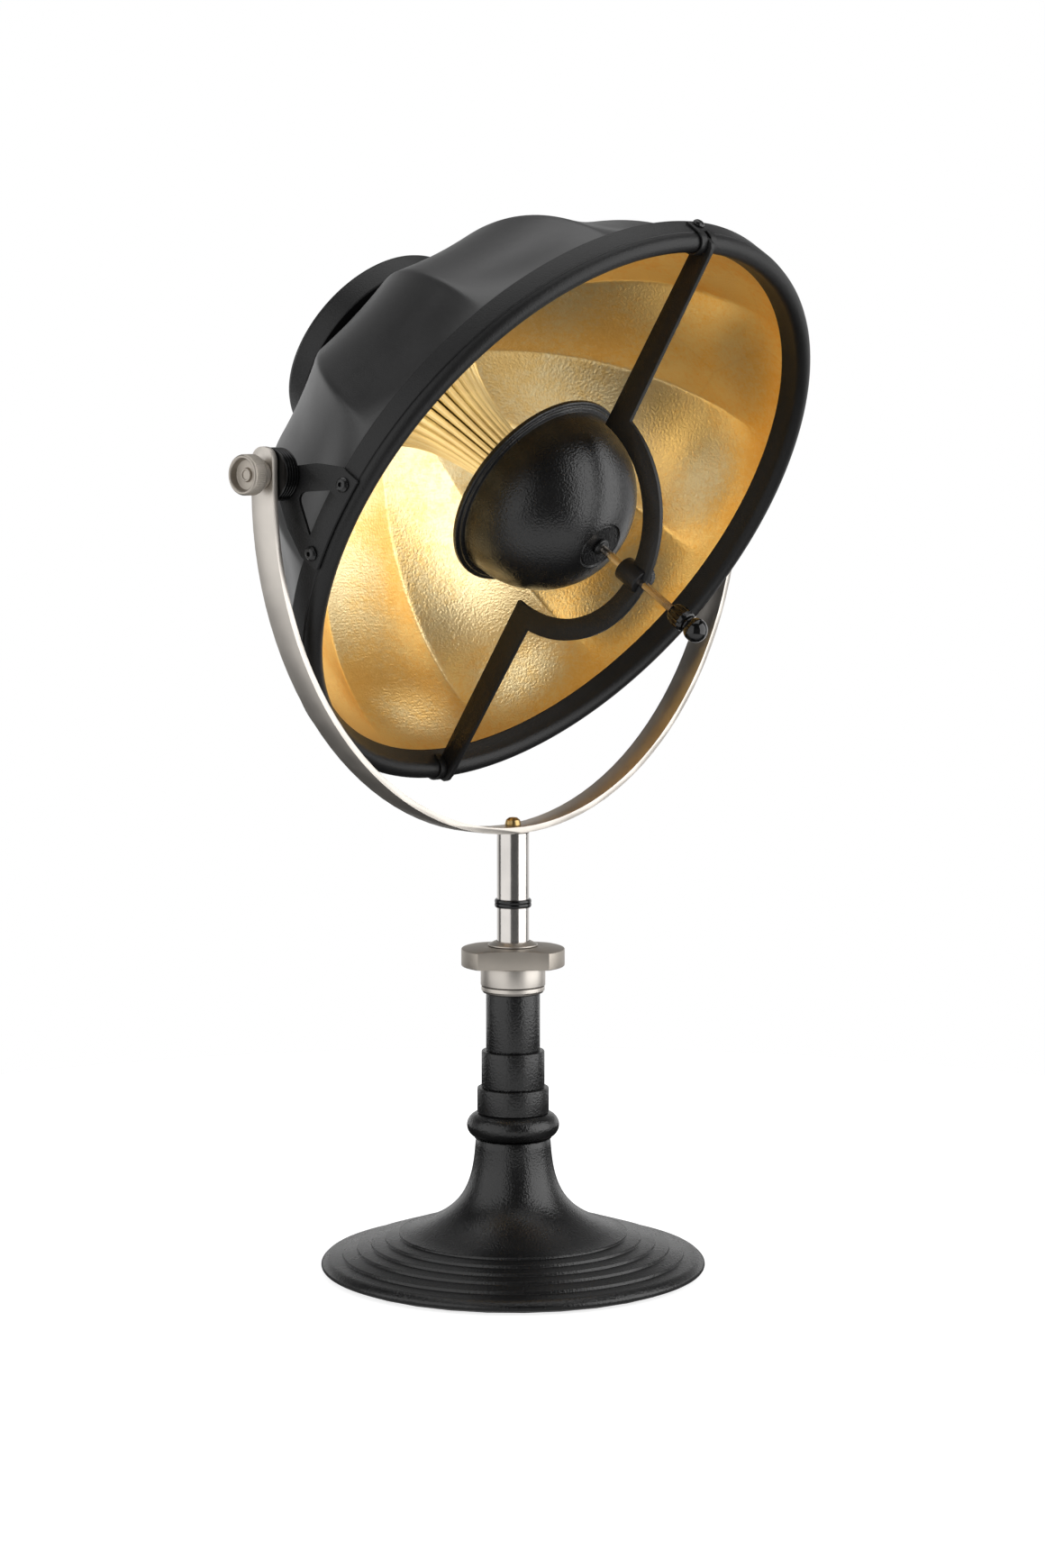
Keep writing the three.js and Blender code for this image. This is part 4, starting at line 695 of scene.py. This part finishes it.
eased(bridge, 0.35, angle=50, smooth=30)
aimed(bridge, (0, 0, 90))
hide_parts("bridge")
finish(bridge, "shade", soft_black)

# Clips. A pressed strap with a forked nose grips the rim on both sides of each end of the bar, and
# one slotted screw holds it on the band.
hook = [(190.9, 48.3), (189.4, 48.7)]
hook += arc(BEAD_ACROSS, BEAD_ALONG, 7.8, 180, -1, -12)
hook += [(206.55, 50.8), (206.55, 41.3), (205.35, 41.3), (205.35, 51)]
hook += arc(BEAD_ACROSS, BEAD_ALONG, 6.5, 0, 181, 12)
screw_line = [(0, -6), (1.6, -6), (1.6, 0), (3.75, 0, 0.2), (3.75, 0.7, 0.4), (2.6, 2.15, 1.2)]
screw_line += [(1.3, 2.38), (0, 2.38)]
slotted = turned("slotted_screw", soften(screw_line), 32, closed=False)
cut(slotted, plate("slot", [(-5, 1.5), (5, 1.5), (5, 4), (-5, 4)], 0.9))
bpy.context.view_layer.objects.active = slotted
bpy.ops.object.shade_smooth_by_angle(angle=radians(30))
for name, angle in (("top", 90), ("bottom", -90)):
    clip = segment(name + "_clip_pressed", hook, 5, 10)
    cut(clip, plate("width", [(180, 36), (212, 36), (212, 64), (180, 64)], 14), "INTERSECT")
    fork = plate("fork", [(180, 36), (201, 36), (201, 51.5), (212, 51.5), (212, 64), (180, 64)], 3.6)
    cut(clip, fork)
    eased(clip, 0.3, angle=50, smooth=40)
    aimed(clip, (0, 0, angle))
    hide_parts(name + "_clip")
    finish(clip, "shade", soft_black)
    screw = placed(another(slotted, name + "_clip_screw_turned"), (0, 90, 0), (206.9, 0, SCREW_ALONG))
    aimed(screw, (0, 0, angle))
    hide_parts(name + "_clip_screw")
    finish(screw, "shade", black_coat)
bpy.data.objects.remove(slotted)

# Cap. A hemisphere spun from thin sheet with a double rolled lip, black, which hides the bulb. It
# has a small flat seat in front for the hub, a turned ring through which the rod passes.
cap_line = [(2.75, 86.45), (14.3, 86.45, 0.3), (14.7, 85.85, 0.2), (15.5, 85.85, 0.2), (15.9, 86.75, 0.3)]
cap_line += arc(0, 28, 60.95, 74, -1, -3)
cap_line += [(61.3, 27.9, 0.3), (62.6, 27.9), (64.2, 27.6, 0.8), (64.2, 26.6, 0.5), (65.2, 26.4, 0.4)]
cap_line += [(67.3, 26.4, 1.4), (67.3, 22.7, 1.6), (61.5, 22.6, 0.5), (59.7, 24.5, 0.5)]
cap_line += [*arc(0, 28, 59.6, 0, 75, 4), (14.3, 85.0), (2.75, 85.0)]
cap = aimed(turned("cap_dome_spun", soften(cap_line), 192))
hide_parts("cap_dome")
finish(cap, "cap", black_coat)
hub_line = [(2.75, 86.85), (5.4, 86.85, 0.2), (5.4, 88.4, 0.3), (4.7, 89.0, 0.2), (4.7, 89.8, 0.4)]
hub_line += [(2.75, 90.1)]
hub = aimed(turned("cap_hub_turned", soften(hub_line), 64))
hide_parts("cap_hub")
finish(hub, "cap", black_coat)

# Rod, grip and tip. A bright steel rod slides in the boss. At its free end sits a fluted black
# grip, and a glossy black ball closes it.
warm_steel = surfaced("warm_steel", (0.64, 0.57, 0.50), 1900, 0.5, 0.12, 0.18, metal=1.0, relief=0.00002)
rod_line = [(0, 79.1), (1.9, 79.1, 0.2), (2.1, 79.4), (2.1, 84.4), (2.6, 84.9), (2.6, 170.0)]
rod_line += [(2.1, 170.3), (2.1, 171.9), (0, 171.9)]
rod = aimed(turned("cap_rod_drawn", soften(rod_line), 48, closed=False))
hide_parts("cap_rod")
finish(rod, "cap", warm_steel)
grip_line = [(2.75, 156.1), (3.4, 156.1, 0.3), (5.2, 157.0, 0.8), (6.4, 159.2, 2), (7.15, 163, 3)]
grip_line += [(7.2, 167, 2), (6.7, 169.4, 0.8), (5.8, 170.4, 0.4), (2.75, 170.4)]
grip = turned("rod_grip_moulded", soften(grip_line, 5), 168)
GRIP_BACK, GRIP_LENGTH, GROOVES, GROOVE_DEPTH = 155.9, 14.7, 14, 0.0009
for v in grip.data.vertices:
    r, along = hypot(v.co.x, v.co.y), v.co.z * 1000
    if r > 0.003:
        groove = abs(sin(GROOVES / 2 * atan2(v.co.y, v.co.x))) ** 0.6
        bite = 1 - GROOVE_DEPTH / r * groove * sin(pi * (along - GRIP_BACK) / GRIP_LENGTH)
        v.co.x *= bite
        v.co.y *= bite
aimed(grip)
gloss_black = surfaced(
    "gloss_black", (0.004, 0.004, 0.004), 200, 0.05, 0.06, 0.10, specular=0.5, relief=0.00001
)
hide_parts("rod_grip")
finish(grip, "cap", gloss_black)
tip_line = [(0, 172.3), (2.3, 172.0), (2.3, 170.85), (5.4, 170.85, 0.3), (5.3, 172.6)]
tip_line += [*arc(0, 177.7, 7.6, -41, 90, 6), (0, 185.3)]
tip = aimed(turned("rod_tip_moulded", soften(tip_line), 96, closed=False))
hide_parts("rod_tip")
finish(tip, "cap", gloss_black)

# Set knob. A small toothed knob, turned and painted black. Its screw goes through the boss's side
# and locks the rod.
set_line = [(0, 3.0), (1.3, 3.0, 0.2), (1.3, 8.3), (5.6, 8.3, 0.4), (6.3, 8.9, 0.3), (6.3, 12.2, 0.5)]
set_line += [(5.3, 12.9, 0.4), (2.6, 12.6), (0, 12.5)]
set_knob = turned("set_knob_turned", soften(set_line), 168, closed=False)
toothed(set_knob, 6.1, 36, 0.35)
placed(set_knob, (0, 90, 0), (0, 0, 120.5))
aimed(set_knob)
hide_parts("set_knob")
finish(set_knob, "rod_set_knob", black_coat)

# Floor. A round white table top under the lamp, which keeps its soft shadow and grows as white as
# the background towards its edge. In the metal it shows bright in front of the lamp and dark behind.
bpy.ops.object.select_all(action="DESELECT")
bpy.ops.mesh.primitive_circle_add(vertices=96, radius=0.8, fill_type="NGON", location=(0, 0, -0.0005))
bpy.ops.object.transform_apply(location=True, rotation=True, scale=True)
floor_plane = bpy.context.object
floor_plane.name = "floor"
TO_CAMERA, FROM_CAMERA = (-0.748, -0.664, 0), (0.748, 0.664, 0)
paper = bpy.data.materials.new("white_floor")
paper.use_nodes = True
tree = paper.node_tree
surface = tree.nodes["Principled BSDF"]
path, place, far, front = grown(tree, "LightPath", "TexCoord", "VectorMath", "VectorMath")
mirror, seen, amount = grown(tree, "Math", "Math", "Math")
spread, near, dull = grown(tree, "MapRange", "MapRange", "MapRange")
far.operation, front.operation, seen.operation = "LENGTH", "DOT_PRODUCT", "ADD"
mirror.operation = amount.operation = "MULTIPLY"
near.interpolation_type = spread.interpolation_type = "SMOOTHSTEP"
fill(surface, {"Roughness": 0.9, "Specular IOR Level": 0.1, "Emission Color": (1, 1, 1, 1)})
fill(dull, {"To Min": 0.45, "To Max": 0.04})
fill(front, {1: TO_CAMERA})
fill(near, {"From Min": -0.06, "From Max": 0.32, "To Max": 0.95})
fill(spread, {"From Min": 0.1, "From Max": 0.5, "To Min": 0.80})
join(
    tree,
    ((place, "Object"), (far, 0)),
    ((far, "Value"), (spread, "Value")),
    ((place, "Object"), (front, 0)),
    ((front, "Value"), (near, "Value")),
    ((path, "Is Glossy Ray"), (mirror, 0)),
    ((near, "Result"), (mirror, 1)),
    ((mirror, 0), (seen, 0)),
    ((path, "Is Camera Ray"), (seen, 1)),
    ((seen, 0), (amount, 0)),
    ((spread, "Result"), (amount, 1)),
    ((amount, 0), (surface, "Emission Strength")),
    ((path, "Is Glossy Ray"), (dull, "Value")),
    ((dull, "Result"), (surface, "Base Color")),
)
floor_plane.data.materials.append(paper)

# Light. A white wall stands low behind the lamp, and the studio round it is dark. Two wide soft
# boxes light it from the left and the right, and one from above.
world = bpy.data.worlds.new("studio")
bpy.context.scene.world = world
world.use_nodes = True
tree = world.node_tree
ground = tree.nodes["Background"]
path, look, toward, up = grown(tree, "LightPath", "TexCoord", "VectorMath", "SeparateXYZ")
wall, height, level, white = grown(tree, "MapRange", "MapRange", "MapRange", "MapRange")
either, dimmed = grown(tree, "Math", "Math")
toward.operation, either.operation, dimmed.operation = "DOT_PRODUCT", "MAXIMUM", "MULTIPLY"
height.interpolation_type = wall.interpolation_type = "SMOOTHSTEP"
fill(ground, {"Color": (1, 1, 1, 1)})
fill(toward, {1: FROM_CAMERA})
fill(wall, {"From Min": 0.35, "From Max": 0.75, "To Min": 0.10, "To Max": 0.9})
fill(height, {"From Min": 0.12, "From Max": 0.40, "To Min": 1.0, "To Max": 0.25})
fill(level, {"To Min": 0.3})
join(
    tree,
    ((look, "Generated"), (toward, 0)),
    ((toward, "Value"), (wall, "Value")),
    ((path, "Is Glossy Ray"), (either, 0)),
    ((path, "Is Transmission Ray"), (either, 1)),
    ((either, 0), (level, "Value")),
    ((look, "Generated"), (up, "Vector")),
    ((up, "Z"), (height, "Value")),
    ((wall, "Result"), (dimmed, 0)),
    ((height, "Result"), (dimmed, 1)),
    ((dimmed, "Value"), (level, "To Max")),
    ((level, "Result"), (white, "To Min")),
    ((path, "Is Camera Ray"), (white, "Value")),
    ((white, "Result"), (ground, "Strength")),
)


def softbox(name, place, target, size, power):
    """A rectangular lamp of so many watts, from a place in metres, aimed at a target."""
    bpy.ops.object.light_add(type="AREA", location=place)
    box = bpy.context.object
    box.name = name
    box.data.shape = "RECTANGLE"
    box.data.size, box.data.size_y = size
    box.data.energy = power
    x, y, z = (t - p for t, p in zip(target, place))
    box.rotation_euler = (pi / 2 + atan2(z, hypot(x, y)), 0, atan2(y, x) - pi / 2)


softbox("left_box", (-1.535, 0.450, 0.65), (0, 0, 0.45), (2.9, 2.5), 25)
softbox("right_box", (0.75, -1.525, 0.65), (0, 0, 0.45), (2.2, 2.5), 40)
softbox("top_box", (0.1, 0.1, 2.2), (0, 0, 0.4), (2.0, 2.0), 16)

# Camera. It stands where the photograph was taken from, about six degrees above the middle of the
# lamp, with the photograph's long lens.
bpy.ops.object.camera_add(
    location=(-1.7190, -1.5280, 0.5616), rotation=(radians(83.92), 0, radians(-48.519))
)
camera = bpy.context.object
camera.data.sensor_fit = "VERTICAL"
camera.data.sensor_height, camera.data.sensor_width = 36, 24
camera.data.lens = 82.7
bpy.context.scene.camera = camera

bpy.context.scene.view_settings.view_transform = "Standard"
